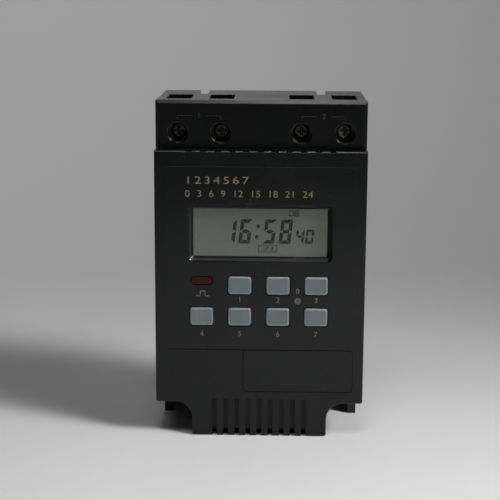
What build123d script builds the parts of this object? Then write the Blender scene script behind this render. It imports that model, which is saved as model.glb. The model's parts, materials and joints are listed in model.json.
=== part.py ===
from build123d import *
import os

# Digital timer switch, 74 x 120 mm on its front, standing on its foot.
# X runs to the right, Y from front to back and Z up. The origin is the middle of the
# footprint, on the surface that the timer stands on. All sizes are in millimetres.

# Overall sizes
WIDTH = 74.0
HEIGHT = 120.0
CASE_DEPTH = 48.0
COVER_STEP = 6.4
COVER_DEPTH = 26.5
TERMINAL_HEIGHT = 16.9
WALL = 2.0
BACK_WALL = 2.4
TRAY_INSET = 0.8
SEAM_GAP = 0.2
EDGE_ROUND = 0.7
FRONT_EDGE_ROUND = 0.63
TOUCH = 0.01

# How far a cut runs past the face it opens, and how deep a post roots in its wall
OVERCUT = 1.0
ROOT = 0.5

# Foot at the bottom of the front cover
FOOT_SIDE = 12.9
FOOT_HEIGHT = 12.4
FOOT_ARC = 6.0
GROOVE_COUNT = 9
GROOVE_PITCH = 4.0
GROOVE_WIDTH = 1.7
GROOVE_DEPTH = 1.0
GROOVE_TOP = 13.75
GROOVE_MOUTH_DEPTH = 4.5
GROOVE_MOUTH_TOP = 2.7
LIP_LINE_Z = 1.5
LIP_LINE_WIDTH = 0.3
LIP_LINE_DEPTH = 0.2

# Air slots along the ledge above the front cover
VENT_COUNT = 11
VENT_PITCH = 5.0
VENT_WIDTH = 2.3
VENT_NOTCH = 0.4
VENT_MARGIN = 1.2

# Raised panel round the display and keys, and the blank plate area below it
PANEL_RISE = 0.25
PANEL_SIDE = 3.7
PANEL_DROP = 5.4
PANEL_HEIGHT = 65.4
PANEL_CORNER = 0.8
PLATE_WIDTH = 38.6
PLATE_SIDE = 4.0
PLATE_LIFT = 3.15
PLATE_GAP = 0.3
PLATE_CORNER = 1.1
PLATE_LINE_DEPTH = 0.4

# Display, its height given as a distance down from the top edge of the panel
WINDOW_WIDTH = 47.0
WINDOW_HEIGHT = 17.0
WINDOW_DROP = 23.45
WINDOW_BEVEL = 1.85
WINDOW_CORNER = 0.4
BEVEL_CORNER = 2.4
LENS_THICKNESS = 1.0
LCD_THICKNESS = 2.0
LCD_GAP = 0.1
LCD_BORDER = 2.2
FRAME_BAR = 2.0
LCD_CLEARANCE = 0.2
STRIP_WIDTH = 2.0
STRIP_INSET = 1.0

# Keys, their heights given as distances down from the top edge of the panel
KEY_WIDTH = 8.0
KEY_HEIGHT = 6.35
KEY_CORNER = 0.9
KEY_BEVEL = 0.55
KEY_BEVEL_DEPTH = 0.44
KEY_PROUD = 0.5
KEY_TRAVEL = 0.5
KEY_GAP = 0.4
KEY_COLUMN_PITCH = 13.45
KEY_ROW_PITCH = 11.35
KEY_BLOCK_CENTRE_X = -0.3
KEY_ROW_DROP = 42.0
KEY_FLANGE_LAP = 0.5
KEY_FLANGE_THICKNESS = 0.8
KEY_SLACK = 0.1
STEM_RADIUS = 1.5
RESET_KEY_RADIUS = 1.35
RESET_KEY_GAP = 0.2
RESET_KEY_BEVEL = 0.18
RESET_KEY_X = 13.3
RESET_KEY_DROP = 47.6
RESET_FLANGE_LAP = 0.3
SWITCH_SIZE = 6.0
SWITCH_HEIGHT = 3.5
PLUNGER_RADIUS = 1.7
PLUNGER_CLEARANCE = 0.05
PLUNGER_PROUD = 1.0
PLUNGER_SEAT = 1.3

# Status light
LIGHT_WIDTH = 7.5
LIGHT_HEIGHT = 2.7
LIGHT_DROP = 40.4
LIGHT_FLANGE_LAP = 0.8
LIGHT_FLANGE_THICKNESS = 0.8
LIGHT_CLEARANCE = 0.3
LIGHT_SINK = 0.25
LED_RADIUS = 1.5
LED_HEIGHT = 4.6
LED_RIM = 0.4
LED_RIM_HEIGHT = 1.0

# Terminals
PAIR_SIDE = 15.3
PAIR_PITCH = 15.1
SCREW_DROP = 11.4
SCREW_SINK = 8.0
SCREW_HEAD_RADIUS = 2.9
SCREW_HEAD_THICKNESS = 2.4
SCREW_HEAD_ROUND = 0.84
SCREW_SHANK_RADIUS = 2.0
SCREW_PITCH = 0.7
SCREW_TURNS = 5
SCREW_TAIL = 1.6
SCREW_POINT = 0.5
SCREW_CLEARANCE = 0.05
CROSS_LENGTH = 3.6
CROSS_WIDTH = 0.9
CROSS_DEPTH = 1.5
CROSS_TAPER = 12
ACCESS_RADIUS = 3.25
ACCESS_FLARE = 0.15
ACCESS_RIM_ROUND = 0.6
ENTRY_WIDTH = 8.8
ENTRY_DEPTH = 16.5
ENTRY_FRONT = 6.0
CHAMBER_FLOOR = 1.6
WASHER_WIDTH = 8.0
WASHER_HEIGHT = 7.0
WASHER_THICKNESS = 1.2
WASHER_LIP = 0.6
WIRE_STOP = 0.3
PLATE_TAB_WIDTH = 7.6
STRAP_WIDTH = 6.0
STRAP_THICKNESS = 1.2
STRAP_HEAD = 4.0
STRAP_SLOT_CLEARANCE = 0.2
STRAP_DROP_Y = 31.0
STRAP_FOOT_DROP = 17.1
TERMINAL_COVER_THICKNESS = 1.6
TERMINAL_COVER_CHAMFER = 1.1
HOOK_WIDTH = 4.0
HOOK_SIDE = 1.0
HOOK_THICKNESS = 1.4
HOOK_LENGTH = 3.6
HOOK_NOSE = 0.5
HOOK_DROP = 6.0
HOOK_CLEARANCE = 0.15

# Top of the terminal block
CHANNEL_WIDTH = 3.4
CHANNEL_DEPTH = 1.7
CHANNEL_LENGTH = 16.4
BLOCK_ROOF = 4.5
CENTRE_ROOM_WALL = 1.75
DIVIDER = 2.0

# Mounting ears at the bottom corners of the rear case
EAR_POCKET_WIDTH = 7.2
EAR_SIDE = 3.0
EAR_POCKET_HEIGHT = 10.6
EAR_FLOOR = 3.0
EAR_HOLE_RADIUS = 2.2
EAR_HOLE_Z = 5.3

# Screws that close the case
CASE_SCREW_DROP = 7.1
CASE_SCREW_SIDE = 7.0
CASE_SCREW_LOW_Z = 20.6
POST_RADIUS = 3.2
BOSS_RADIUS = 3.0
CASE_SCREW_RADIUS = 1.5
CASE_SCREW_HEAD_RADIUS = 2.6
CASE_SCREW_HEAD_THICKNESS = 1.8
CASE_SCREW_HEAD_DEPTH = 10.0
CASE_SCREW_BITE = 9.0
CASE_SCREW_SLOT = 0.8
CASE_SCREW_CROSS = 3.1
SCREW_FIT = 0.03
HEAD_ROOM = 0.3

# Tongues that line up the two halves of the case
TONGUE_THICKNESS = 1.0
TONGUE_REACH = 1.6
TONGUE_CLEARANCE = 0.1
TONGUE_LOW_Z = 26.0
TONGUE_DROP = 13.1

# Circuit boards
BOARD_THICKNESS = 1.6
CONTROL_BOARD_SIDE = 3.0
CONTROL_BOARD_DROP = 10.6
CONTROL_BOARD_HEIGHT = 56.1
CONTROL_BOARD_SETBACK = 8.4
POWER_BOARD_SIDE = 4.0
POWER_BOARD_DROP = 13.1
POWER_BOARD_HEIGHT = 53.5
STANDOFF_HEIGHT = 4.0
STANDOFF_RADIUS = 2.5
BOARD_SCREW_RADIUS = 1.1
BOARD_SCREW_HEAD_RADIUS = 2.1
BOARD_SCREW_HEAD_THICKNESS = 1.5
BOARD_SCREW_LENGTH = 5.0
BOARD_HOLE_CLEARANCE = 0.15
CONTROL_SCREW_EDGE = 2.8
POWER_SCREW_EDGE = 3.0
POWER_SCREW_TOP_EDGE = 3.5

# Parts on the control board, their heights given as distances down from its top edge
CHIP_SIZE = 12.0
CHIP_THICKNESS = 1.8
CHIP_X = -8.0
CHIP_DROP = 22.5
CHIP_LEG_COUNT = 10
CHIP_LEG_PITCH = 1.0
CHIP_LEG_WIDTH = 0.4
CHIP_LEG_REACH = 1.4
CHIP_LEG_THICKNESS = 0.3
CRYSTAL_RADIUS = 1.5
CRYSTAL_LENGTH = 8.0
CRYSTAL_ROUND = 0.3
CRYSTAL_X = 6.0
CRYSTAL_DROP = 22.5
CELL_RADIUS = 7.8
CELL_THICKNESS = 6.0
CELL_X = 20.0
CELL_DROP = 18.5
CELL_TAB_WIDTH = 4.0
CELL_TAB_THICKNESS = 0.3
CELL_TAB_SPACE = 1.0
CELL_CASE_ROUND = 0.8
CELL_LIFT = 0.8

# Link between the boards
LINK_WIDTH = 14.0
LINK_MARGIN = 1.0
LINK_DROP = 46.5
LINK_X = 22.0
PLUG_HEIGHT = 5.0
PLUG_THICKNESS = 4.0
LINK_THICKNESS = 0.9
LINK_BOW = 4.0

# Relay on the power board, its height given as a distance down from the board's top edge
RELAY_WIDTH = 32.0
RELAY_HEIGHT = 27.0
RELAY_DEPTH = 20.0
RELAY_SCREW_GAP = 3.0
RELAY_DROP = 38.5
RELAY_WALL = 1.0
RELAY_BASE = 2.4
RELAY_CLEARANCE = 0.1
COIL_RADIUS = 6.5
COIL_LENGTH = 17.0
COIL_FLANGE = 1.0
COIL_FLANGE_RADIUS = 7.5
CORE_RADIUS = 2.5
YOKE_THICKNESS = 1.5
YOKE_WIDTH = 13.0
YOKE_SPACE = 1.0
ARMATURE_THICKNESS = 1.4
ARMATURE_GAP = 0.9
ARMATURE_WIDTH = 12.0
ARMATURE_SLACK = 0.15
CONTACT_RADIUS = 1.6
CONTACT_THICKNESS = 0.8
CONTACT_GAP = 0.9
CONTACT_POST = 1.2
CONTACT_SIDE = 9.8
CONTACT_HEIGHT = 3.0

# Other parts on the power board, their heights given as distances down from its top edge
DROPPER_WIDTH = 18.0
DROPPER_HEIGHT = 15.0
DROPPER_DEPTH = 9.0
DROPPER_X = 20.0
DROPPER_DROP = 28.0
SMOOTHER_RADIUS = 5.0
SMOOTHER_LENGTH = 13.0
SMOOTHER_X = -25.0
SMOOTHER_DROP = 15.5
VARISTOR_RADIUS = 5.0
VARISTOR_THICKNESS = 4.0
VARISTOR_ROUND = 1.2
VARISTOR_X = -5.0
VARISTOR_DROP = 14.0
LEAD_RADIUS = 0.35
LEAD_BEND = 0.8
DIODE_COUNT = 4
DIODE_RADIUS = 1.35
DIODE_LENGTH = 5.2
DIODE_PITCH = 4.4
DIODE_X = 6.0
DIODE_DROP = 21.0
RESISTOR_COUNT = 2
RESISTOR_RADIUS = 2.0
RESISTOR_LENGTH = 10.0
RESISTOR_PITCH = 6.0
RESISTOR_X = 20.0
RESISTOR_DROP = 16.5
AXIAL_LIFT = 0.6
AXIAL_LEAD_REACH = 2.0

# Places worked out from the sizes above
HALF_WIDTH = WIDTH / 2
TRAY_HALF = HALF_WIDTH - TRAY_INSET
FOOT_WIDTH = WIDTH - 2 * FOOT_SIDE
FOOT_HALF = FOOT_WIDTH / 2
RELIEF = PANEL_RISE + KEY_PROUD
BACK = (CASE_DEPTH + RELIEF) / 2
FACE = BACK - CASE_DEPTH
PANEL_FACE = FACE - PANEL_RISE
KEY_FACE = PANEL_FACE - KEY_PROUD
COVER_INSIDE = FACE + WALL
SEAM = FACE + COVER_DEPTH
TERMINAL_FACE = FACE + COVER_STEP
BLOCK_FRONT = TERMINAL_FACE + TERMINAL_COVER_THICKNESS
LEDGE = HEIGHT - TERMINAL_HEIGHT
PANEL_TOP = LEDGE - PANEL_DROP
PANEL_BOTTOM = PANEL_TOP - PANEL_HEIGHT
PANEL_WIDTH = WIDTH - 2 * PANEL_SIDE
PLATE_BOTTOM = GROOVE_TOP + PLATE_LIFT
PLATE_HEIGHT = PANEL_BOTTOM - PLATE_GAP - PLATE_BOTTOM
PLATE_CENTRE_X = HALF_WIDTH - PLATE_SIDE - PLATE_WIDTH / 2
WINDOW_CENTRE_Z = PANEL_TOP - WINDOW_DROP
BLOCK_BOTTOM = LEDGE + SEAM_GAP
BACK_INSIDE = BACK - BACK_WALL
TRAY_INSIDE_HALF = TRAY_HALF - WALL
TRAY_FLOOR = EAR_POCKET_HEIGHT + WALL
EAR_CENTRE_X = TRAY_HALF - EAR_SIDE - EAR_POCKET_WIDTH / 2
EAR_INNER_X = EAR_CENTRE_X - EAR_POCKET_WIDTH / 2

PAIR_CENTRE_X = HALF_WIDTH - PAIR_SIDE
SCREW_Z = HEIGHT - SCREW_DROP
HOOK_Z = HEIGHT - HOOK_DROP
STRAP_FOOT_Z = LEDGE - STRAP_FOOT_DROP
CENTRE_ROOM_HALF = PAIR_CENTRE_X - (PAIR_PITCH + ENTRY_WIDTH) / 2 - CENTRE_ROOM_WALL
HOOK_X = CENTRE_ROOM_HALF - HOOK_SIDE - HOOK_WIDTH / 2
CHAMBER_FRONT = TERMINAL_FACE + ENTRY_FRONT
CHAMBER_BACK = CHAMBER_FRONT + ENTRY_DEPTH
CHAMBER_BOTTOM = BLOCK_BOTTOM + CHAMBER_FLOOR
REAR_ROOM_FRONT = CHAMBER_BACK + DIVIDER
REAR_ROOM_TOP = HEIGHT - BLOCK_ROOF
TERMINAL_XS = [
    side * (PAIR_CENTRE_X + place * PAIR_PITCH / 2)
    for side, place in ((-1, 1), (-1, -1), (1, -1), (1, 1))
]
SCREW_TRAVEL = SCREW_PITCH * SCREW_TURNS
SCREW_HEAD_FACE = TERMINAL_FACE + SCREW_SINK
SCREW_HEAD_UNDER = SCREW_HEAD_FACE + SCREW_HEAD_THICKNESS
WASHER_FRONT = SCREW_HEAD_UNDER + SCREW_CLEARANCE
WASHER_BACK = WASHER_FRONT + WASHER_THICKNESS
STRAP_FRONT = WASHER_BACK + WASHER_LIP + SCREW_TRAVEL + WIRE_STOP
SCREW_END = STRAP_FRONT + STRAP_THICKNESS + SCREW_TAIL
STRAP_DROP = FACE + STRAP_DROP_Y

CONTROL_FRONT = FACE + CONTROL_BOARD_SETBACK
CONTROL_BACK = CONTROL_FRONT + BOARD_THICKNESS
CONTROL_TOP = LEDGE - CONTROL_BOARD_DROP
CONTROL_MIDDLE_Z = CONTROL_TOP - CONTROL_BOARD_HEIGHT / 2
CONTROL_BOARD_WIDTH = WIDTH - 2 * CONTROL_BOARD_SIDE
CONTROL_SCREW_X = CONTROL_BOARD_WIDTH / 2 - CONTROL_SCREW_EDGE
CONTROL_SCREW_ZS = [
    CONTROL_MIDDLE_Z + side * (CONTROL_BOARD_HEIGHT / 2 - CONTROL_SCREW_EDGE) for side in (-1, 1)
]
POWER_BACK = BACK_INSIDE - STANDOFF_HEIGHT
POWER_FRONT = POWER_BACK - BOARD_THICKNESS
POWER_TOP = LEDGE - POWER_BOARD_DROP
POWER_MIDDLE_Z = POWER_TOP - POWER_BOARD_HEIGHT / 2
POWER_BOARD_WIDTH = WIDTH - 2 * POWER_BOARD_SIDE
POWER_SCREW_LOW_X = POWER_BOARD_WIDTH / 2 - POWER_SCREW_EDGE
POWER_SCREW_LOW_Z = POWER_TOP - POWER_BOARD_HEIGHT + POWER_SCREW_EDGE
POWER_SCREW_TOP_Z = POWER_TOP - POWER_SCREW_TOP_EDGE

FRAME_INNER_WIDTH = WINDOW_WIDTH + 2 * LCD_BORDER
FRAME_INNER_HEIGHT = WINDOW_HEIGHT + 2 * LCD_BORDER
LENS_BACK = COVER_INSIDE + LENS_THICKNESS
LCD_BACK = LENS_BACK + LCD_GAP + LCD_THICKNESS

KEY_COLUMNS = [KEY_BLOCK_CENTRE_X + (place - 1.5) * KEY_COLUMN_PITCH for place in range(4)]
KEY_TOP_ROW_Z = PANEL_TOP - KEY_ROW_DROP
KEY_LOW_ROW_Z = KEY_TOP_ROW_Z - KEY_ROW_PITCH
KEY_PLACES = [(x, KEY_TOP_ROW_Z) for x in KEY_COLUMNS[1:]] + [(x, KEY_LOW_ROW_Z) for x in KEY_COLUMNS]
RESET_PLACE = (RESET_KEY_X, PANEL_TOP - RESET_KEY_DROP)
SWITCH_PLACES = KEY_PLACES + [RESET_PLACE]
LIGHT_PLACE = (KEY_COLUMNS[0], PANEL_TOP - LIGHT_DROP)
FLANGE_FRONT = COVER_INSIDE + KEY_SLACK
FLANGE_BACK = FLANGE_FRONT + KEY_FLANGE_THICKNESS
SWITCH_FACE = CONTROL_FRONT - SWITCH_HEIGHT
PLUNGER_TIP = SWITCH_FACE - PLUNGER_PROUD

CASE_SCREW_PLACES = [
    (side * x, z)
    for side in (-1, 1)
    for x, z in ((PAIR_CENTRE_X, LEDGE - CASE_SCREW_DROP), (HALF_WIDTH - CASE_SCREW_SIDE, CASE_SCREW_LOW_Z))
]
CONTROL_SCREW_PLACES = [(side * CONTROL_SCREW_X, z) for side in (-1, 1) for z in CONTROL_SCREW_ZS]
POWER_SCREW_PLACES = [
    (side * x, z)
    for side in (-1, 1)
    for x, z in ((POWER_SCREW_LOW_X, POWER_SCREW_LOW_Z), (PAIR_CENTRE_X, POWER_SCREW_TOP_Z))
]
EAR_PLACES = [(side * EAR_CENTRE_X, EAR_HOLE_Z) for side in (-1, 1)]

RELAY_LEFT = RELAY_SCREW_GAP - POWER_SCREW_LOW_X
RELAY_RIGHT = RELAY_LEFT + RELAY_WIDTH
RELAY_Z = POWER_TOP - RELAY_DROP
RELAY_TOP = POWER_FRONT - RELAY_DEPTH
RELAY_SEAT = POWER_FRONT - RELAY_BASE
YOKE_LEFT = RELAY_LEFT + RELAY_WALL + RELAY_CLEARANCE + YOKE_SPACE
YOKE_BACK = RELAY_SEAT
COIL_Y = YOKE_BACK - YOKE_THICKNESS - COIL_FLANGE_RADIUS - RELAY_CLEARANCE
COIL_START = YOKE_LEFT + YOKE_THICKNESS
COIL_END = COIL_START + COIL_LENGTH
ARMATURE_FACE = COIL_END + ARMATURE_GAP

CHIP_Z = CONTROL_TOP - CHIP_DROP
CRYSTAL_Z = CONTROL_TOP - CRYSTAL_DROP
CELL_Z = CONTROL_TOP - CELL_DROP
LINK_Z = CONTROL_TOP - LINK_DROP
DROPPER_Z = POWER_TOP - DROPPER_DROP
SMOOTHER_Z = POWER_TOP - SMOOTHER_DROP
VARISTOR_Z = POWER_TOP - VARISTOR_DROP
DIODE_Z = POWER_TOP - DIODE_DROP
RESISTOR_Z = POWER_TOP - RESISTOR_DROP


def box_between(x_range, y_range, z_range, mode=Mode.ADD):
    """Add or cut the box that spans the three ranges."""
    middle = tuple((low + high) / 2 for low, high in (x_range, y_range, z_range))
    size = tuple(high - low for low, high in (x_range, y_range, z_range))
    with Locations(middle):
        Box(*size, mode=mode)


def rod_along_y(places, radius, y_range, mode=Mode.ADD):
    """Add or cut a round bar from front to back at each (x, z) place."""
    low, high = y_range
    for x, z in places:
        with Locations(Location((x, (low + high) / 2, z), (90, 0, 0))):
            Cylinder(radius, high - low, mode=mode)


def rod_along_x(places, radius, x_range, mode=Mode.ADD):
    """Add or cut a round bar from left to right at each (y, z) place."""
    low, high = x_range
    for y, z in places:
        with Locations(Location(((low + high) / 2, y, z), (0, 90, 0))):
            Cylinder(radius, high - low, mode=mode)


def save(part, name):
    """Label a finished piece and write it under its node name."""
    part.label = name
    export_step(part, f"parts/{name}.step")


def make_rear_case():
    """Tray behind the seam, with the terminal block on top and the mounting ears below."""
    with BuildPart() as rear_case:
        box_between((-TRAY_HALF, TRAY_HALF), (SEAM, BACK), (0, BLOCK_BOTTOM))
        fillet(rear_case.edges().filter_by(Axis.Z).sort_by(Axis.Y)[-2:], EDGE_ROUND)
        with BuildSketch(Plane.XY.offset(BLOCK_BOTTOM)):
            with Locations((0, (BLOCK_FRONT + BACK) / 2)):
                Rectangle(WIDTH, BACK - BLOCK_FRONT)
        extrude(amount=HEIGHT - BLOCK_BOTTOM)
        block_top = rear_case.faces().sort_by(Axis.Z)[-1]
        fillet(block_top.edges().sort_by(Axis.Y)[1:], EDGE_ROUND)

        # Room inside the tray, the foot part between the ears, the room behind the terminals, and
        # the room between the two pairs of terminals, open below
        inside_y = (SEAM - OVERCUT, BACK_INSIDE)
        inside_x = (-TRAY_INSIDE_HALF, TRAY_INSIDE_HALF)
        box_between(inside_x, inside_y, (TRAY_FLOOR, BLOCK_BOTTOM), Mode.SUBTRACT)
        foot_room = EAR_INNER_X - WALL
        box_between((-foot_room, foot_room), inside_y, (WALL, TRAY_FLOOR), Mode.SUBTRACT)
        room_y = (REAR_ROOM_FRONT, BACK_INSIDE)
        room_z = (BLOCK_BOTTOM - OVERCUT, REAR_ROOM_TOP)
        box_between(inside_x, room_y, room_z, Mode.SUBTRACT)
        centre_y = (BLOCK_FRONT + DIVIDER, REAR_ROOM_FRONT + OVERCUT)
        centre_z = (BLOCK_BOTTOM - OVERCUT, REAR_ROOM_TOP)
        centre_x = (-CENTRE_ROOM_HALF, CENTRE_ROOM_HALF)
        box_between(centre_x, centre_y, centre_z, Mode.SUBTRACT)

        # Wire chambers open at the top, each with its screwdriver tunnel and its strap slot
        with BuildSketch(Plane.XY.offset(HEIGHT)):
            with Locations([(x, (CHAMBER_FRONT + CHAMBER_BACK) / 2) for x in TERMINAL_XS]):
                Rectangle(ENTRY_WIDTH, ENTRY_DEPTH)
        extrude(amount=-(HEIGHT - CHAMBER_BOTTOM), mode=Mode.SUBTRACT)
        tunnel_places = [(x, SCREW_Z) for x in TERMINAL_XS]
        tunnel_radius = ACCESS_RADIUS + ACCESS_FLARE
        tunnel_y = (BLOCK_FRONT - OVERCUT, CHAMBER_FRONT + OVERCUT)
        rod_along_y(tunnel_places, tunnel_radius, tunnel_y, Mode.SUBTRACT)
        slot_top = CHAMBER_BOTTOM + STRAP_THICKNESS + STRAP_SLOT_CLEARANCE
        for x in TERMINAL_XS:
            half_slot = STRAP_WIDTH / 2 + STRAP_SLOT_CLEARANCE
            slot_x = (x - half_slot, x + half_slot)
            slot_y = (CHAMBER_BACK - OVERCUT, REAR_ROOM_FRONT + OVERCUT)
            box_between(slot_x, slot_y, (CHAMBER_BOTTOM, slot_top), Mode.SUBTRACT)

        # Channels in the top face, open to the back
        with BuildSketch(Plane.XY.offset(HEIGHT)):
            with Locations([(side * PAIR_CENTRE_X, BACK - CHANNEL_LENGTH / 2) for side in (-1, 1)]):
                Rectangle(CHANNEL_WIDTH, CHANNEL_LENGTH)
        extrude(amount=-CHANNEL_DEPTH, mode=Mode.SUBTRACT)

        # Slots for the hooks of the terminal cover
        for side in (-1, 1):
            half_hook = HOOK_WIDTH / 2 + HOOK_CLEARANCE
            hook_x = (side * HOOK_X - half_hook, side * HOOK_X + half_hook)
            hook_z = (HOOK_Z - HOOK_CLEARANCE, HOOK_Z + HOOK_THICKNESS + HOOK_NOSE + HOOK_CLEARANCE)
            hook_y = (BLOCK_FRONT - OVERCUT, BLOCK_FRONT + DIVIDER + OVERCUT)
            box_between(hook_x, hook_y, hook_z, Mode.SUBTRACT)

        # Posts for the case screws, standoffs for the power board, tongues along the seam
        rod_along_y(CASE_SCREW_PLACES, POST_RADIUS, (SEAM, BACK_INSIDE))
        rod_along_y(POWER_SCREW_PLACES, STANDOFF_RADIUS, (POWER_BACK, BACK_INSIDE))
        tongue_outer = HALF_WIDTH - WALL - TONGUE_CLEARANCE
        for side in (-1, 1):
            tongue_x = sorted((side * tongue_outer, side * (tongue_outer - TONGUE_THICKNESS)))
            box_between(tongue_x, (SEAM - TONGUE_REACH, SEAM + WALL), (TONGUE_LOW_Z, LEDGE - TONGUE_DROP))
        foot_tongue = FOOT_HALF - WALL - FOOT_ARC
        tongue_z = (WALL + TONGUE_CLEARANCE, WALL + TONGUE_CLEARANCE + TONGUE_THICKNESS)
        box_between((-foot_tongue, foot_tongue), (SEAM - TONGUE_REACH, SEAM + WALL), tongue_z)
        box_between((-foot_tongue, foot_tongue), (SEAM, SEAM + WALL), (WALL, WALL + TONGUE_CLEARANCE))

        # Holes for both kinds of screw
        shank_hole = CASE_SCREW_RADIUS + BOARD_HOLE_CLEARANCE
        head_hole = CASE_SCREW_HEAD_RADIUS + BOARD_HOLE_CLEARANCE
        past_back = BACK + OVERCUT
        rod_along_y(CASE_SCREW_PLACES, shank_hole, (SEAM - OVERCUT, past_back), Mode.SUBTRACT)
        rod_along_y(CASE_SCREW_PLACES, head_hole, (BACK - CASE_SCREW_HEAD_DEPTH, past_back), Mode.SUBTRACT)
        pilot = BOARD_SCREW_RADIUS + SCREW_FIT
        pilot_end = POWER_FRONT + BOARD_SCREW_LENGTH + HEAD_ROOM
        rod_along_y(POWER_SCREW_PLACES, pilot, (POWER_BACK - OVERCUT, pilot_end), Mode.SUBTRACT)

        # Mounting ears: a pocket open to the front and below, with a screw hole in its back wall
        for x, _ in EAR_PLACES:
            pocket_x = (x - EAR_POCKET_WIDTH / 2, x + EAR_POCKET_WIDTH / 2)
            pocket_y = (SEAM - OVERCUT, BACK - EAR_FLOOR)
            box_between(pocket_x, pocket_y, (-OVERCUT, EAR_POCKET_HEIGHT), Mode.SUBTRACT)
        rod_along_y(EAR_PLACES, EAR_HOLE_RADIUS, (BACK - EAR_FLOOR - OVERCUT, past_back), Mode.SUBTRACT)
    save(rear_case.part, "rear_case")


def make_front_cover():
    """Shell in front of the seam, with the foot, the panel, the window and the key openings."""
    with BuildPart() as front_cover:
        with BuildSketch(Plane.XZ.offset(-SEAM)) as outline:
            with Locations((0, (FOOT_HEIGHT + LEDGE) / 2)):
                Rectangle(WIDTH, LEDGE - FOOT_HEIGHT)
            with Locations((0, FOOT_HEIGHT / 2)):
                Rectangle(FOOT_WIDTH, FOOT_HEIGHT)
            inner_corners = [
                corner for corner in outline.vertices()
                if abs(abs(corner.X) - FOOT_HALF) < TOUCH and corner.Y > FOOT_HEIGHT / 2
            ]
            fillet(inner_corners, FOOT_ARC)
            low_corners = [
                corner for corner in outline.vertices()
                if abs(abs(corner.X) - FOOT_HALF) < TOUCH and corner.Y < TOUCH
                or abs(abs(corner.X) - HALF_WIDTH) < TOUCH and corner.Y < HEIGHT / 2
            ]
            fillet(low_corners, EDGE_ROUND)
        extrude(amount=COVER_DEPTH)
        fillet(front_cover.faces().sort_by(Axis.Y)[0].edges(), FRONT_EDGE_ROUND)
        with BuildSketch(Plane.XZ.offset(-SEAM)) as inside:
            with Locations((0, (FOOT_HEIGHT + LEDGE) / 2)):
                Rectangle(WIDTH - 2 * WALL, LEDGE - FOOT_HEIGHT - 2 * WALL)
            with Locations((0, (WALL + FOOT_HEIGHT + WALL) / 2)):
                Rectangle(FOOT_WIDTH - 2 * WALL, FOOT_HEIGHT)
            inner_corners = [
                corner for corner in inside.vertices()
                if abs(abs(corner.X) - FOOT_HALF + WALL) < TOUCH and corner.Y > FOOT_HEIGHT
            ]
            fillet(inner_corners, FOOT_ARC + WALL)
        extrude(amount=COVER_DEPTH - WALL, mode=Mode.SUBTRACT)

        # Raised panel and the blank plate area below it
        with BuildSketch(Plane.XZ.offset(-FACE)):
            with Locations((0, PANEL_BOTTOM + PANEL_HEIGHT / 2)):
                RectangleRounded(PANEL_WIDTH, PANEL_HEIGHT, PANEL_CORNER)
            with Locations((PLATE_CENTRE_X, PLATE_BOTTOM + PLATE_HEIGHT / 2)):
                RectangleRounded(PLATE_WIDTH, PLATE_HEIGHT, PLATE_CORNER)
        extrude(amount=PANEL_RISE)

        # Fine line round the plate and along the lower edge of the panel
        with BuildSketch(Plane.XZ.offset(-FACE)):
            with Locations((PLATE_CENTRE_X, PLATE_BOTTOM + PLATE_HEIGHT / 2)):
                RectangleRounded(PLATE_WIDTH + 2 * PLATE_GAP, PLATE_HEIGHT + 2 * PLATE_GAP, PLATE_CORNER + PLATE_GAP)
                RectangleRounded(PLATE_WIDTH, PLATE_HEIGHT, PLATE_CORNER, mode=Mode.SUBTRACT)
            with Locations((0, PANEL_BOTTOM - PLATE_GAP / 2)):
                Rectangle(PANEL_WIDTH - 2 * PANEL_CORNER, PLATE_GAP)
        extrude(amount=-PLATE_LINE_DEPTH, mode=Mode.SUBTRACT)

        # Window with its sloping sides
        bevel_width = WINDOW_WIDTH + 2 * WINDOW_BEVEL
        bevel_height = WINDOW_HEIGHT + 2 * WINDOW_BEVEL
        with BuildSketch(Plane.XZ.offset(-PANEL_FACE)):
            with Locations((0, WINDOW_CENTRE_Z)):
                RectangleRounded(bevel_width, bevel_height, BEVEL_CORNER)
        with BuildSketch(Plane.XZ.offset(-COVER_INSIDE)):
            with Locations((0, WINDOW_CENTRE_Z)):
                RectangleRounded(WINDOW_WIDTH, WINDOW_HEIGHT, WINDOW_CORNER)
        loft(mode=Mode.SUBTRACT)

        # Openings for the keys, the reset key and the status light
        with BuildSketch(Plane.XZ.offset(-COVER_INSIDE)):
            with Locations(KEY_PLACES):
                RectangleRounded(KEY_WIDTH + 2 * KEY_GAP, KEY_HEIGHT + 2 * KEY_GAP, KEY_CORNER + KEY_GAP)
            with Locations(RESET_PLACE):
                Circle(RESET_KEY_RADIUS + RESET_KEY_GAP)
            with Locations(LIGHT_PLACE):
                SlotOverall(LIGHT_WIDTH + 2 * LIGHT_CLEARANCE, LIGHT_HEIGHT + 2 * LIGHT_CLEARANCE)
        extrude(amount=WALL + PANEL_RISE, mode=Mode.SUBTRACT)

        # Bosses for the case screws and the control board, with their pilot holes
        rod_along_y(CASE_SCREW_PLACES, BOSS_RADIUS, (COVER_INSIDE - ROOT, SEAM))
        rod_along_y(CONTROL_SCREW_PLACES, STANDOFF_RADIUS, (COVER_INSIDE - ROOT, CONTROL_FRONT))
        case_pilot = CASE_SCREW_RADIUS + SCREW_FIT
        case_pilot_y = (SEAM - CASE_SCREW_BITE - HEAD_ROOM, SEAM + OVERCUT)
        rod_along_y(CASE_SCREW_PLACES, case_pilot, case_pilot_y, Mode.SUBTRACT)
        board_pilot = BOARD_SCREW_RADIUS + SCREW_FIT
        board_pilot_y = (CONTROL_BACK - BOARD_SCREW_LENGTH - HEAD_ROOM, CONTROL_FRONT + OVERCUT)
        rod_along_y(CONTROL_SCREW_PLACES, board_pilot, board_pilot_y, Mode.SUBTRACT)

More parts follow.
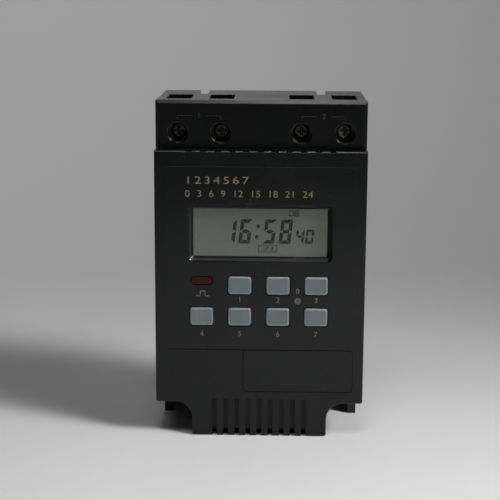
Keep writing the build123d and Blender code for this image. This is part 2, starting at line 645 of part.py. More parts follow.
        # Air slots through the ledge, each with a shallow notch out to the front edge
        slot_places = [(place - (VENT_COUNT - 1) / 2) * VENT_PITCH for place in range(VENT_COUNT)]
        for x in slot_places:
            slot_x = (x - VENT_WIDTH / 2, x + VENT_WIDTH / 2)
            slot_back = TERMINAL_FACE - VENT_MARGIN
            slot_z = (LEDGE - WALL - OVERCUT, LEDGE + OVERCUT)
            notch_z = (LEDGE - VENT_NOTCH, LEDGE + OVERCUT)
            box_between(slot_x, (FACE + WALL, slot_back), slot_z, Mode.SUBTRACT)
            box_between(slot_x, (FACE - OVERCUT, slot_back), notch_z, Mode.SUBTRACT)

        # Line across the foot just above its lower edge
        line_z = (LIP_LINE_Z, LIP_LINE_Z + LIP_LINE_WIDTH)
        line_y = (FACE - OVERCUT, FACE + LIP_LINE_DEPTH)
        box_between((-WIDTH / 2, WIDTH / 2), line_y, line_z, Mode.SUBTRACT)

        # Upright grooves down the foot, deeper at their lower ends and open there to the inside
        groove_places = [(place - (GROOVE_COUNT - 1) / 2) * GROOVE_PITCH for place in range(GROOVE_COUNT)]
        for x in groove_places:
            groove_x = (x - GROOVE_WIDTH / 2, x + GROOVE_WIDTH / 2)
            groove_y = (FACE - OVERCUT, FACE + GROOVE_DEPTH)
            mouth_y = (FACE - OVERCUT, FACE + GROOVE_MOUTH_DEPTH)
            through_y = (FACE - OVERCUT, FACE + WALL + OVERCUT)
            box_between(groove_x, groove_y, (-OVERCUT, GROOVE_TOP), Mode.SUBTRACT)
            box_between(groove_x, mouth_y, (-OVERCUT, GROOVE_MOUTH_TOP), Mode.SUBTRACT)
            box_between(groove_x, through_y, (WALL, GROOVE_MOUTH_TOP), Mode.SUBTRACT)
    save(front_cover.part, "front_cover")


def make_terminal_cover():
    """Plate over the front of the terminal block, held by two hooks."""
    with BuildPart() as terminal_cover:
        with BuildSketch(Plane.XZ.offset(-BLOCK_FRONT)):
            with Locations((0, (BLOCK_BOTTOM + HEIGHT) / 2)):
                Rectangle(WIDTH, HEIGHT - BLOCK_BOTTOM)
        extrude(amount=TERMINAL_COVER_THICKNESS)
        front_edges = terminal_cover.faces().sort_by(Axis.Y)[0].edges()
        chamfer(front_edges.sort_by(Axis.Z)[1:], TERMINAL_COVER_CHAMFER)
        with BuildSketch(Plane.XZ.offset(-BLOCK_FRONT)):
            with Locations([(x, SCREW_Z) for x in TERMINAL_XS]):
                Circle(ACCESS_RADIUS)
        extrude(amount=TERMINAL_COVER_THICKNESS, mode=Mode.SUBTRACT)
        rims = [
            edge for edge in terminal_cover.edges().filter_by(GeomType.CIRCLE)
            if abs(edge.center().Y - TERMINAL_FACE) < TOUCH
        ]
        fillet(rims, ACCESS_RIM_ROUND)
        for side in (-1, 1):
            hook_x = (side * HOOK_X - HOOK_WIDTH / 2, side * HOOK_X + HOOK_WIDTH / 2)
            hook_y = (BLOCK_FRONT - ROOT, BLOCK_FRONT + HOOK_LENGTH)
            box_between(hook_x, hook_y, (HOOK_Z, HOOK_Z + HOOK_THICKNESS))
            nose_y = (BLOCK_FRONT + DIVIDER + HOOK_CLEARANCE, BLOCK_FRONT + HOOK_LENGTH)
            nose_z = (HOOK_Z - HOOK_NOSE, HOOK_Z)
            box_between(hook_x, nose_y, nose_z)
    save(terminal_cover.part, "terminal_cover")


def make_display():
    """Clear window, liquid crystal panel, its frame and the two contact strips."""
    pane_width = FRAME_INNER_WIDTH - 2 * LCD_CLEARANCE
    pane_height = FRAME_INNER_HEIGHT - 2 * LCD_CLEARANCE
    with BuildPart() as display_window:
        with BuildSketch(Plane.XZ.offset(-LENS_BACK)):
            with Locations((0, WINDOW_CENTRE_Z)):
                Rectangle(pane_width, pane_height)
        extrude(amount=LENS_THICKNESS)
    save(display_window.part, "display_window")

    with BuildPart() as lcd_panel:
        with BuildSketch(Plane.XZ.offset(-LCD_BACK)):
            with Locations((0, WINDOW_CENTRE_Z)):
                Rectangle(pane_width, pane_height)
        extrude(amount=LCD_THICKNESS)
    save(lcd_panel.part, "lcd_panel")

    with BuildPart() as lcd_frame:
        with BuildSketch(Plane.XZ.offset(-CONTROL_FRONT)):
            with Locations((0, WINDOW_CENTRE_Z)):
                Rectangle(FRAME_INNER_WIDTH + 2 * FRAME_BAR, FRAME_INNER_HEIGHT + 2 * FRAME_BAR)
                Rectangle(FRAME_INNER_WIDTH, FRAME_INNER_HEIGHT, mode=Mode.SUBTRACT)
        extrude(amount=CONTROL_FRONT - COVER_INSIDE)
    save(lcd_frame.part, "lcd_frame")

    strip_offset = pane_height / 2 - STRIP_INSET - STRIP_WIDTH / 2
    with BuildPart() as contact_strips:
        with BuildSketch(Plane.XZ.offset(-CONTROL_FRONT)):
            with Locations([(0, WINDOW_CENTRE_Z + side * strip_offset) for side in (-1, 1)]):
                Rectangle(WINDOW_WIDTH, STRIP_WIDTH)
        extrude(amount=CONTROL_FRONT - LCD_BACK)
    save(contact_strips.part, "lcd_contact_strips")


def make_keys():
    """Seven rectangular keys, each with a flange behind the cover and a stem to its switch."""
    for number, (x, z) in enumerate(KEY_PLACES, start=1):
        with BuildPart() as key:
            with BuildSketch(Plane.XZ.offset(-FLANGE_FRONT)):
                with Locations((x, z)):
                    RectangleRounded(KEY_WIDTH, KEY_HEIGHT, KEY_CORNER)
            extrude(amount=FLANGE_FRONT - KEY_FACE)
            chamfer(key.faces().sort_by(Axis.Y)[0].edges(), length=KEY_BEVEL_DEPTH, length2=KEY_BEVEL)
            lap = KEY_GAP + KEY_FLANGE_LAP
            with BuildSketch(Plane.XZ.offset(-FLANGE_BACK)):
                with Locations((x, z)):
                    RectangleRounded(KEY_WIDTH + 2 * lap, KEY_HEIGHT + 2 * lap, KEY_CORNER)
            extrude(amount=KEY_FLANGE_THICKNESS)
            rod_along_y([(x, z)], STEM_RADIUS, (FLANGE_BACK, PLUNGER_TIP))
        save(key.part, f"key_{number}")

    with BuildPart() as reset_key:
        rod_along_y([RESET_PLACE], RESET_KEY_RADIUS, (PANEL_FACE, FLANGE_FRONT))
        chamfer(reset_key.faces().sort_by(Axis.Y)[0].edges(), RESET_KEY_BEVEL)
        flange_radius = RESET_KEY_RADIUS + RESET_KEY_GAP + RESET_FLANGE_LAP
        rod_along_y([RESET_PLACE], flange_radius, (FLANGE_FRONT, FLANGE_BACK))
        rod_along_y([RESET_PLACE], RESET_KEY_RADIUS, (FLANGE_BACK, PLUNGER_TIP))
    save(reset_key.part, "reset_key")


def make_key_switches():
    """Push switches on the control board, one body and one plunger for each key."""
    pocket_floor = CONTROL_FRONT - PLUNGER_SEAT
    with BuildPart() as key_switches:
        with BuildSketch(Plane.XZ.offset(-CONTROL_FRONT)):
            with Locations(SWITCH_PLACES):
                Rectangle(SWITCH_SIZE, SWITCH_SIZE)
        extrude(amount=SWITCH_HEIGHT)
        guide = PLUNGER_RADIUS + PLUNGER_CLEARANCE
        rod_along_y(SWITCH_PLACES, guide, (SWITCH_FACE - OVERCUT, pocket_floor), Mode.SUBTRACT)
    save(key_switches.part, "key_switches")

    plunger_end = pocket_floor - KEY_TRAVEL - KEY_SLACK
    for number, place in enumerate(SWITCH_PLACES, start=1):
        with BuildPart() as plunger:
            rod_along_y([place], PLUNGER_RADIUS, (PLUNGER_TIP, plunger_end))
        save(plunger.part, f"switch_plunger_{number}")


def make_status_light():
    """Oblong lens in the cover and the small lamp behind it."""
    x, z = LIGHT_PLACE
    lens_back = COVER_INSIDE + LIGHT_FLANGE_THICKNESS
    with BuildPart() as status_lens:
        with BuildSketch(Plane.XZ.offset(-COVER_INSIDE)):
            with Locations(LIGHT_PLACE):
                SlotOverall(LIGHT_WIDTH, LIGHT_HEIGHT)
        extrude(amount=WALL + PANEL_RISE - LIGHT_SINK)
        with BuildSketch(Plane.XZ.offset(-lens_back)):
            with Locations(LIGHT_PLACE):
                SlotOverall(LIGHT_WIDTH + 2 * LIGHT_FLANGE_LAP, LIGHT_HEIGHT + 2 * LIGHT_FLANGE_LAP)
        extrude(amount=LIGHT_FLANGE_THICKNESS)
    save(status_lens.part, "status_lens")

    tip = CONTROL_FRONT - LED_HEIGHT
    with BuildPart() as status_led:
        rod_along_y([(x, z)], LED_RADIUS, (tip + LED_RADIUS, CONTROL_FRONT))
        with Locations((x, tip + LED_RADIUS, z)):
            Sphere(LED_RADIUS)
        rod_along_y([(x, z)], LED_RADIUS + LED_RIM, (CONTROL_FRONT - LED_RIM_HEIGHT, CONTROL_FRONT))
    save(status_led.part, "status_led")


def make_terminals():
    """Strap, screw and square washer of each of the four terminals."""
    for number, x in enumerate(TERMINAL_XS, start=1):
        # Strap: clamp plate, floor leg to the room behind, drop leg and foot on the power board
        plate_x = (x - PLATE_TAB_WIDTH / 2, x + PLATE_TAB_WIDTH / 2)
        strap_x = (x - STRAP_WIDTH / 2, x + STRAP_WIDTH / 2)
        floor_z = (CHAMBER_BOTTOM, CHAMBER_BOTTOM + STRAP_THICKNESS)
        drop_y = (STRAP_DROP, STRAP_DROP + STRAP_THICKNESS)
        with BuildPart() as strap:
            plate_y = (STRAP_FRONT, STRAP_FRONT + STRAP_THICKNESS)
            box_between(plate_x, plate_y, (CHAMBER_BOTTOM, SCREW_Z + STRAP_HEAD))
            box_between(strap_x, (STRAP_FRONT, drop_y[1]), floor_z)
            box_between(strap_x, drop_y, (STRAP_FOOT_Z, floor_z[1]))
            box_between(strap_x, (STRAP_DROP, POWER_FRONT), (STRAP_FOOT_Z, STRAP_FOOT_Z + STRAP_THICKNESS))
            bore = SCREW_SHANK_RADIUS + SCREW_CLEARANCE
            bore_y = (STRAP_FRONT - OVERCUT, STRAP_FRONT + STRAP_THICKNESS + OVERCUT)
            rod_along_y([(x, SCREW_Z)], bore, bore_y, Mode.SUBTRACT)
        save(strap.part, f"terminal_strap_{number}")

        with BuildPart() as screw:
            rod_along_y([(x, SCREW_Z)], SCREW_HEAD_RADIUS, (SCREW_HEAD_FACE, SCREW_HEAD_UNDER))
            fillet(screw.faces().sort_by(Axis.Y)[0].edges(), SCREW_HEAD_ROUND)
            rod_along_y([(x, SCREW_Z)], SCREW_SHANK_RADIUS, (SCREW_HEAD_UNDER, SCREW_END))
            chamfer(screw.faces().sort_by(Axis.Y)[-1].edges(), SCREW_POINT)
            with BuildSketch(Plane.XZ.offset(-SCREW_HEAD_FACE)):
                with Locations((x, SCREW_Z)):
                    Rectangle(CROSS_LENGTH, CROSS_WIDTH)
                    Rectangle(CROSS_WIDTH, CROSS_LENGTH)
            extrude(amount=-CROSS_DEPTH, taper=CROSS_TAPER, mode=Mode.SUBTRACT)
        save(screw.part, f"terminal_screw_{number}")

        with BuildPart() as washer:
            washer_x = (x - WASHER_WIDTH / 2, x + WASHER_WIDTH / 2)
            washer_z = (SCREW_Z - WASHER_HEIGHT / 2, SCREW_Z + WASHER_HEIGHT / 2)
            box_between(washer_x, (WASHER_FRONT, WASHER_BACK), washer_z)
            for low, high in ((washer_x[0], washer_x[0] + WASHER_THICKNESS),
                              (washer_x[1] - WASHER_THICKNESS, washer_x[1])):
                box_between((low, high), (WASHER_BACK, WASHER_BACK + WASHER_LIP), washer_z)
            hole_y = (WASHER_FRONT - OVERCUT, WASHER_BACK + OVERCUT)
            rod_along_y([(x, SCREW_Z)], SCREW_SHANK_RADIUS + SCREW_CLEARANCE, hole_y, Mode.SUBTRACT)
        save(washer.part, f"clamp_washer_{number}")


def make_boards():
    """Control board behind the cover and power board in front of the back wall."""
    hole = BOARD_SCREW_RADIUS + BOARD_HOLE_CLEARANCE
    with BuildPart() as control_board:
        with BuildSketch(Plane.XZ.offset(-CONTROL_BACK)):
            with Locations((0, CONTROL_MIDDLE_Z)):
                Rectangle(CONTROL_BOARD_WIDTH, CONTROL_BOARD_HEIGHT)
            with Locations(CONTROL_SCREW_PLACES):
                Circle(hole, mode=Mode.SUBTRACT)
        extrude(amount=BOARD_THICKNESS)
    save(control_board.part, "control_board")

    with BuildPart() as power_board:
        with BuildSketch(Plane.XZ.offset(-POWER_BACK)):
            with Locations((0, POWER_MIDDLE_Z)):
                Rectangle(POWER_BOARD_WIDTH, POWER_BOARD_HEIGHT)
            with Locations(POWER_SCREW_PLACES):
                Circle(hole, mode=Mode.SUBTRACT)
        extrude(amount=BOARD_THICKNESS)
    save(power_board.part, "power_board")


def make_control_parts():
    """Controller chip, crystal and backup cell on the back of the control board."""
    chip_back = CONTROL_BACK + CHIP_THICKNESS
    with BuildPart() as chip:
        box_between((CHIP_X - CHIP_SIZE / 2, CHIP_X + CHIP_SIZE / 2), (CONTROL_BACK, chip_back),
                    (CHIP_Z - CHIP_SIZE / 2, CHIP_Z + CHIP_SIZE / 2))
        leg_reach = CHIP_SIZE / 2 + CHIP_LEG_REACH
        for place in range(CHIP_LEG_COUNT):
            offset = (place - (CHIP_LEG_COUNT - 1) / 2) * CHIP_LEG_PITCH
            leg = (offset - CHIP_LEG_WIDTH / 2, offset + CHIP_LEG_WIDTH / 2)
            leg_y = (CONTROL_BACK, CONTROL_BACK + CHIP_LEG_THICKNESS)
            box_between((CHIP_X - leg_reach, CHIP_X + leg_reach), leg_y, (CHIP_Z + leg[0], CHIP_Z + leg[1]))
            box_between((CHIP_X + leg[0], CHIP_X + leg[1]), leg_y, (CHIP_Z - leg_reach, CHIP_Z + leg_reach))
    save(chip.part, "controller_chip")

    with BuildPart() as crystal:
        crystal_y = CONTROL_BACK + CRYSTAL_RADIUS
        with Locations((CRYSTAL_X, crystal_y, CRYSTAL_Z)):
            Cylinder(CRYSTAL_RADIUS, CRYSTAL_LENGTH)
        fillet(crystal.edges(), CRYSTAL_ROUND)
    save(crystal.part, "clock_crystal")

    cell_front = CONTROL_BACK + CELL_LIFT
    cell_back = cell_front + CELL_THICKNESS
    with BuildPart() as cell:
        rod_along_y([(CELL_X, CELL_Z)], CELL_RADIUS, (cell_front, cell_back))
        fillet(cell.edges(), CELL_CASE_ROUND)
    save(cell.part, "backup_cell")

    with BuildPart() as tabs:
        tab_x = (CELL_X - CELL_TAB_WIDTH / 2, CELL_X + CELL_TAB_WIDTH / 2)
        outer_z = CELL_Z + CELL_RADIUS + CELL_TAB_SPACE
        box_between(tab_x, (cell_back, cell_back + CELL_TAB_THICKNESS), (CELL_Z, outer_z))
        box_between(tab_x, (CONTROL_BACK, cell_back), (outer_z - CELL_TAB_THICKNESS, outer_z))
        lower_z = CELL_Z - CELL_RADIUS - CELL_TAB_SPACE
        box_between(tab_x, (cell_front - CELL_TAB_THICKNESS, cell_front), (lower_z, CELL_Z))
        box_between(tab_x, (CONTROL_BACK, cell_front), (lower_z, lower_z + CELL_TAB_THICKNESS))
    save(tabs.part, "cell_tabs")


def make_board_link():
    """Plugs on both boards and the flat cable that bows between them."""
    control_plug_back = CONTROL_BACK + PLUG_THICKNESS
    power_plug_front = POWER_FRONT - PLUG_THICKNESS
    link_x = (LINK_X - LINK_WIDTH / 2, LINK_X + LINK_WIDTH / 2)
    plug_z = (LINK_Z - PLUG_HEIGHT / 2, LINK_Z + PLUG_HEIGHT / 2)
    with BuildPart() as plugs:
        box_between(link_x, (CONTROL_BACK, control_plug_back), plug_z)
        box_between(link_x, (power_plug_front, POWER_FRONT), plug_z)
    save(plugs.part, "link_plugs")

    middle_y = (control_plug_back + power_plug_front) / 2
    low_face = LINK_Z - LINK_THICKNESS / 2
    with BuildPart() as cable:
        with BuildSketch(Plane.YZ.offset(link_x[0] + LINK_MARGIN)):
            with BuildLine():
                ThreePointArc((control_plug_back, low_face), (middle_y, low_face + LINK_BOW),
                              (power_plug_front, low_face))
                Line((power_plug_front, low_face), (power_plug_front, low_face + LINK_THICKNESS))
                ThreePointArc((power_plug_front, low_face + LINK_THICKNESS),
                              (middle_y, low_face + LINK_BOW + LINK_THICKNESS),
                              (control_plug_back, low_face + LINK_THICKNESS))
                Line((control_plug_back, low_face + LINK_THICKNESS), (control_plug_back, low_face))
            make_face()
        extrude(amount=LINK_WIDTH - 2 * LINK_MARGIN)
    save(cable.part, "link_cable")


def make_relay():
    """Relay that switches the load: base, cover, coil, yoke, armature and fixed contacts."""
    half_height = RELAY_HEIGHT / 2
    relay_z = (RELAY_Z - half_height, RELAY_Z + half_height)
    with BuildPart() as relay_base:
        box_between((RELAY_LEFT, RELAY_RIGHT), (RELAY_SEAT, POWER_FRONT), relay_z)
    save(relay_base.part, "relay_base")

    with BuildPart() as relay_cover:
        box_between((RELAY_LEFT, RELAY_RIGHT), (RELAY_TOP, RELAY_SEAT), relay_z)
        fillet(relay_cover.faces().sort_by(Axis.Y)[0].edges(), RELAY_WALL)
        box_between((RELAY_LEFT + RELAY_WALL, RELAY_RIGHT - RELAY_WALL), (RELAY_TOP + RELAY_WALL, RELAY_SEAT),
                    (relay_z[0] + RELAY_WALL, relay_z[1] - RELAY_WALL), Mode.SUBTRACT)
    save(relay_cover.part, "relay_cover")

    axis_place = [(COIL_Y, RELAY_Z)]
    with BuildPart() as coil:
        rod_along_x(axis_place, COIL_RADIUS, (COIL_START, COIL_END - COIL_FLANGE))
        rod_along_x(axis_place, COIL_FLANGE_RADIUS, (COIL_START, COIL_START + COIL_FLANGE))
        rod_along_x(axis_place, COIL_FLANGE_RADIUS, (COIL_END - 2 * COIL_FLANGE, COIL_END - COIL_FLANGE))
        core_hole_x = (COIL_START - OVERCUT, COIL_END + OVERCUT)
        rod_along_x(axis_place, CORE_RADIUS + SCREW_FIT, core_hole_x, Mode.SUBTRACT)
    save(coil.part, "relay_coil")

    yoke_z = (RELAY_Z - YOKE_WIDTH / 2, RELAY_Z + YOKE_WIDTH / 2)
    with BuildPart() as yoke:
        box_between((YOKE_LEFT, COIL_START), (COIL_Y - COIL_RADIUS, YOKE_BACK), yoke_z)
        bottom_x = (YOKE_LEFT, ARMATURE_FACE - ARMATURE_SLACK)
        box_between(bottom_x, (YOKE_BACK - YOKE_THICKNESS, YOKE_BACK), yoke_z)
        rod_along_x(axis_place, CORE_RADIUS, (YOKE_LEFT, COIL_END))
    save(yoke.part, "relay_yoke")

    # The armature leans on the end of the yoke and carries the moving contact on a side blade
    armature_back = YOKE_BACK - YOKE_THICKNESS / 2
    armature_x = (ARMATURE_FACE, ARMATURE_FACE + ARMATURE_THICKNESS)
    armature_z = (RELAY_Z - ARMATURE_WIDTH / 2, RELAY_Z + ARMATURE_WIDTH / 2)
    contact_y = COIL_Y - CONTACT_HEIGHT
    contact_z = RELAY_Z + CONTACT_SIDE
    blade_y = (contact_y - CONTACT_RADIUS, contact_y + CONTACT_RADIUS)
    blade_z = (RELAY_Z, contact_z + CONTACT_RADIUS)
    with BuildPart() as armature:
        box_between(armature_x, (COIL_Y - COIL_RADIUS, armature_back), armature_z)
        box_between(armature_x, blade_y, blade_z)
        moving_x = (ARMATURE_FACE - CONTACT_THICKNESS, ARMATURE_FACE)
        rod_along_x([(contact_y, contact_z)], CONTACT_RADIUS, moving_x)
    save(armature.part, "relay_armature")

    fixed_face = ARMATURE_FACE - CONTACT_THICKNESS - CONTACT_GAP
    with BuildPart() as contact:
        rod_along_x([(contact_y, contact_z)], CONTACT_RADIUS, (fixed_face - CONTACT_THICKNESS, fixed_face))
        post_back = fixed_face - CONTACT_THICKNESS
        post_z = (contact_z - CONTACT_RADIUS, contact_z + CONTACT_RADIUS)
        box_between((post_back - CONTACT_POST, post_back), (blade_y[0], RELAY_SEAT), post_z)
    save(contact.part, "relay_contact")


def make_power_parts():
    """Dropper and smoothing capacitors, varistor, diodes and resistors on the power board."""
    with BuildPart() as dropper:
        box_between((DROPPER_X - DROPPER_WIDTH / 2, DROPPER_X + DROPPER_WIDTH / 2),
                    (POWER_FRONT - DROPPER_DEPTH, POWER_FRONT),
                    (DROPPER_Z - DROPPER_HEIGHT / 2, DROPPER_Z + DROPPER_HEIGHT / 2))
        fillet(dropper.faces().sort_by(Axis.Y)[0].edges(), EDGE_ROUND)
    save(dropper.part, "dropper_capacitor")

    with BuildPart() as smoother:
        rod_along_y([(SMOOTHER_X, SMOOTHER_Z)], SMOOTHER_RADIUS, (POWER_FRONT - SMOOTHER_LENGTH, POWER_FRONT))
        fillet(smoother.faces().sort_by(Axis.Y)[0].edges(), EDGE_ROUND)
    save(smoother.part, "smoothing_capacitor")

    with BuildPart() as varistor:
        disc_y = POWER_FRONT - AXIAL_LIFT - VARISTOR_RADIUS
        disc_x = (VARISTOR_X - VARISTOR_THICKNESS / 2, VARISTOR_X + VARISTOR_THICKNESS / 2)
        rod_along_x([(disc_y, VARISTOR_Z)], VARISTOR_RADIUS, disc_x)
        fillet(varistor.edges(), VARISTOR_ROUND)
        lead_places = [(VARISTOR_X, VARISTOR_Z + side * VARISTOR_RADIUS / 2) for side in (-1, 1)]
        rod_along_y(lead_places, LEAD_RADIUS, (disc_y, POWER_FRONT))
    save(varistor.part, "surge_varistor")

    def axial_parts(count, pitch, radius, length, centre_x, first_z):
        """Bodies that lie along X, each with one wire bent down to the board at both ends."""
        body_y = POWER_FRONT - AXIAL_LIFT - radius
        reach = length / 2 + AXIAL_LEAD_REACH
        for place in range(count):
            z = first_z + place * pitch
            rod_along_x([(body_y, z)], radius, (centre_x - length / 2, centre_x + length / 2))
            bends = [(centre_x - reach, body_y, z), (centre_x + reach, body_y, z)]
            ends = [(x, POWER_FRONT, z) for x, _, z in bends]
            with BuildLine() as wire_path:
                FilletPolyline(ends[0], *bends, ends[1], radius=LEAD_BEND)
            with BuildSketch(Plane.XZ.offset(-POWER_FRONT)) as wire_end:
                with Locations((centre_x - reach, z)):
                    Circle(LEAD_RADIUS)
            sweep(sections=wire_end.sketch, path=wire_path.wires()[0])

    with BuildPart() as diodes:
        axial_parts(DIODE_COUNT, DIODE_PITCH, DIODE_RADIUS, DIODE_LENGTH, DIODE_X, DIODE_Z)
    save(diodes.part, "rectifier_diodes")

    with BuildPart() as resistors:
        axial_parts(RESISTOR_COUNT, RESISTOR_PITCH, RESISTOR_RADIUS, RESISTOR_LENGTH, RESISTOR_X, RESISTOR_Z)
    save(resistors.part, "bleed_resistors")


def make_fasteners():
    """Screws that close the case and screws that hold both boards."""
    head_front = BACK - CASE_SCREW_HEAD_DEPTH
    head_y = (head_front, head_front + CASE_SCREW_HEAD_THICKNESS)
    with BuildPart() as case_screws:
        rod_along_y(CASE_SCREW_PLACES, CASE_SCREW_HEAD_RADIUS, head_y)
        rod_along_y(CASE_SCREW_PLACES, CASE_SCREW_RADIUS, (SEAM - CASE_SCREW_BITE, head_front))
        slot_y = (head_y[1] - CASE_SCREW_SLOT, head_y[1])
        for x, z in CASE_SCREW_PLACES:
            for long_x, long_z in ((CASE_SCREW_CROSS, CROSS_WIDTH), (CROSS_WIDTH, CASE_SCREW_CROSS)):
                arm_x = (x - long_x / 2, x + long_x / 2)
                arm_z = (z - long_z / 2, z + long_z / 2)
                box_between(arm_x, slot_y, arm_z, Mode.SUBTRACT)
    save(case_screws.part, "case_screws")

    with BuildPart() as board_screws:
        rod_along_y(CONTROL_SCREW_PLACES, BOARD_SCREW_HEAD_RADIUS,
                    (CONTROL_BACK, CONTROL_BACK + BOARD_SCREW_HEAD_THICKNESS))
        shank_y = (CONTROL_BACK - BOARD_SCREW_LENGTH, CONTROL_BACK)
        rod_along_y(CONTROL_SCREW_PLACES, BOARD_SCREW_RADIUS, shank_y)
        rod_along_y(POWER_SCREW_PLACES, BOARD_SCREW_HEAD_RADIUS,
                    (POWER_FRONT - BOARD_SCREW_HEAD_THICKNESS, POWER_FRONT))
        rod_along_y(POWER_SCREW_PLACES, BOARD_SCREW_RADIUS, (POWER_FRONT, POWER_FRONT + BOARD_SCREW_LENGTH))
    save(board_screws.part, "board_screws")


os.makedirs("parts", exist_ok=True)
make_rear_case()
make_front_cover()
make_terminal_cover()
make_display()
make_keys()
make_key_switches()
make_status_light()
make_terminals()
make_boards()
make_control_parts()
make_board_link()
make_relay()
make_power_parts()
make_fasteners()
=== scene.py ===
"""Looks of the digital timer switch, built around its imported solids.

All lengths are in metres, in the frame of the solids: X to the right, Y from the front to the
back, Z up, with the origin under the middle of the timer.
"""
import json
import logging
import math
from dataclasses import dataclass, field, replace
from enum import Enum
from typing import ClassVar, Sequence

import bmesh
import bpy
from mathutils import Matrix, Vector


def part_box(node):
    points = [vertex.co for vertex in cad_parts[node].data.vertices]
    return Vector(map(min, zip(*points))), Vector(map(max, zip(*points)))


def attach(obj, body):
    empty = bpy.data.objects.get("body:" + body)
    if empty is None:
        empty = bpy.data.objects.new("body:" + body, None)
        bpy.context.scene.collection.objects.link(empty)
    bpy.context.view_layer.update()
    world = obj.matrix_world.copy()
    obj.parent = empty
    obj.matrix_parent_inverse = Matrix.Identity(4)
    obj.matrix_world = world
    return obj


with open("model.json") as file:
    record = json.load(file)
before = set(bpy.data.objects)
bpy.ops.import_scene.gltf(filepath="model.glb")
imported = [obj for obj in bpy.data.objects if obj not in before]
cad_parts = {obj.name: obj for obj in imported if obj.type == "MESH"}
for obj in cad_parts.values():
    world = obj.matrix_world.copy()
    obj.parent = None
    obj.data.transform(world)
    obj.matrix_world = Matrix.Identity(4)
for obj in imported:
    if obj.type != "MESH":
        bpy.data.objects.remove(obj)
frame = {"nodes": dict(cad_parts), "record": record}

LOG = logging.getLogger("timer")
MM = 0.001
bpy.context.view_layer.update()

# Point low in the timer that the lamps of the room are placed round.
LAMP_CENTRE = (0.0, 0.0, 0.04)

# Range of Y that holds the floors of the grooves in the foot.
GROOVE_FLOORS = (-23.2 * MM, -22.4 * MM)

SCREWS = tuple(f"terminal_screw_{number}" for number in range(1, 5))

Colour = tuple[float, float, float]
Place = tuple[float, float, float]
Point = tuple[float, float]
Outline = Sequence[Point]
Value = float | Sequence[float] | bpy.types.NodeSocket


class Slot(Enum):
    """Material slots of the record."""

    CASE = "case"
    KEY = "key"
    WINDOW = "window"
    LCD = "lcd"
    LENS = "lens"
    LED = "led"
    WHITE_PLASTIC = "white_plastic"
    RUBBER = "rubber"
    PLATED_STEEL = "plated_steel"
    BRASS = "brass"
    BOARD = "board"
    CHIP = "chip"
    SWITCH = "switch"
    RELAY = "relay"
    COPPER = "copper"
    IRON = "iron"
    FILM_CAPACITOR = "film_capacitor"
    CAN_CAPACITOR = "can_capacitor"
    VARISTOR = "varistor"
    RESISTOR = "resistor"
    CABLE = "cable"


class Axis(Enum):
    """Axes of the timer, which a grain, a winding or a mask can follow."""

    X = (1.0, 0.0, 0.0)
    Y = (0.0, 1.0, 0.0)
    Z = (0.0, 0.0, 1.0)


class LampKind(Enum):
    """Kinds of studio lamp."""

    SKY = "SUN"
    SPOT = "SPOT"
    AREA = "AREA"


class Sum(Enum):
    """Sums that a finish works out from two numbers."""

    ADD = "ADD"
    SUBTRACT = "SUBTRACT"
    MULTIPLY = "MULTIPLY"
    LARGER = "MAXIMUM"


class Align(Enum):
    """Ways that a number lies on its place."""

    MIDDLE = "CENTER"
    LEFT = "LEFT"


def scaled(colour: Colour, factor: float) -> Colour:
    """Darker or brighter form of a colour.

    Args:
        colour: The colour.
        factor: What each of its parts is multiplied by, up to full strength.

    Returns:
        The new colour.
    """
    red, green, blue = (min(1.0, factor * part) for part in colour)
    return red, green, blue


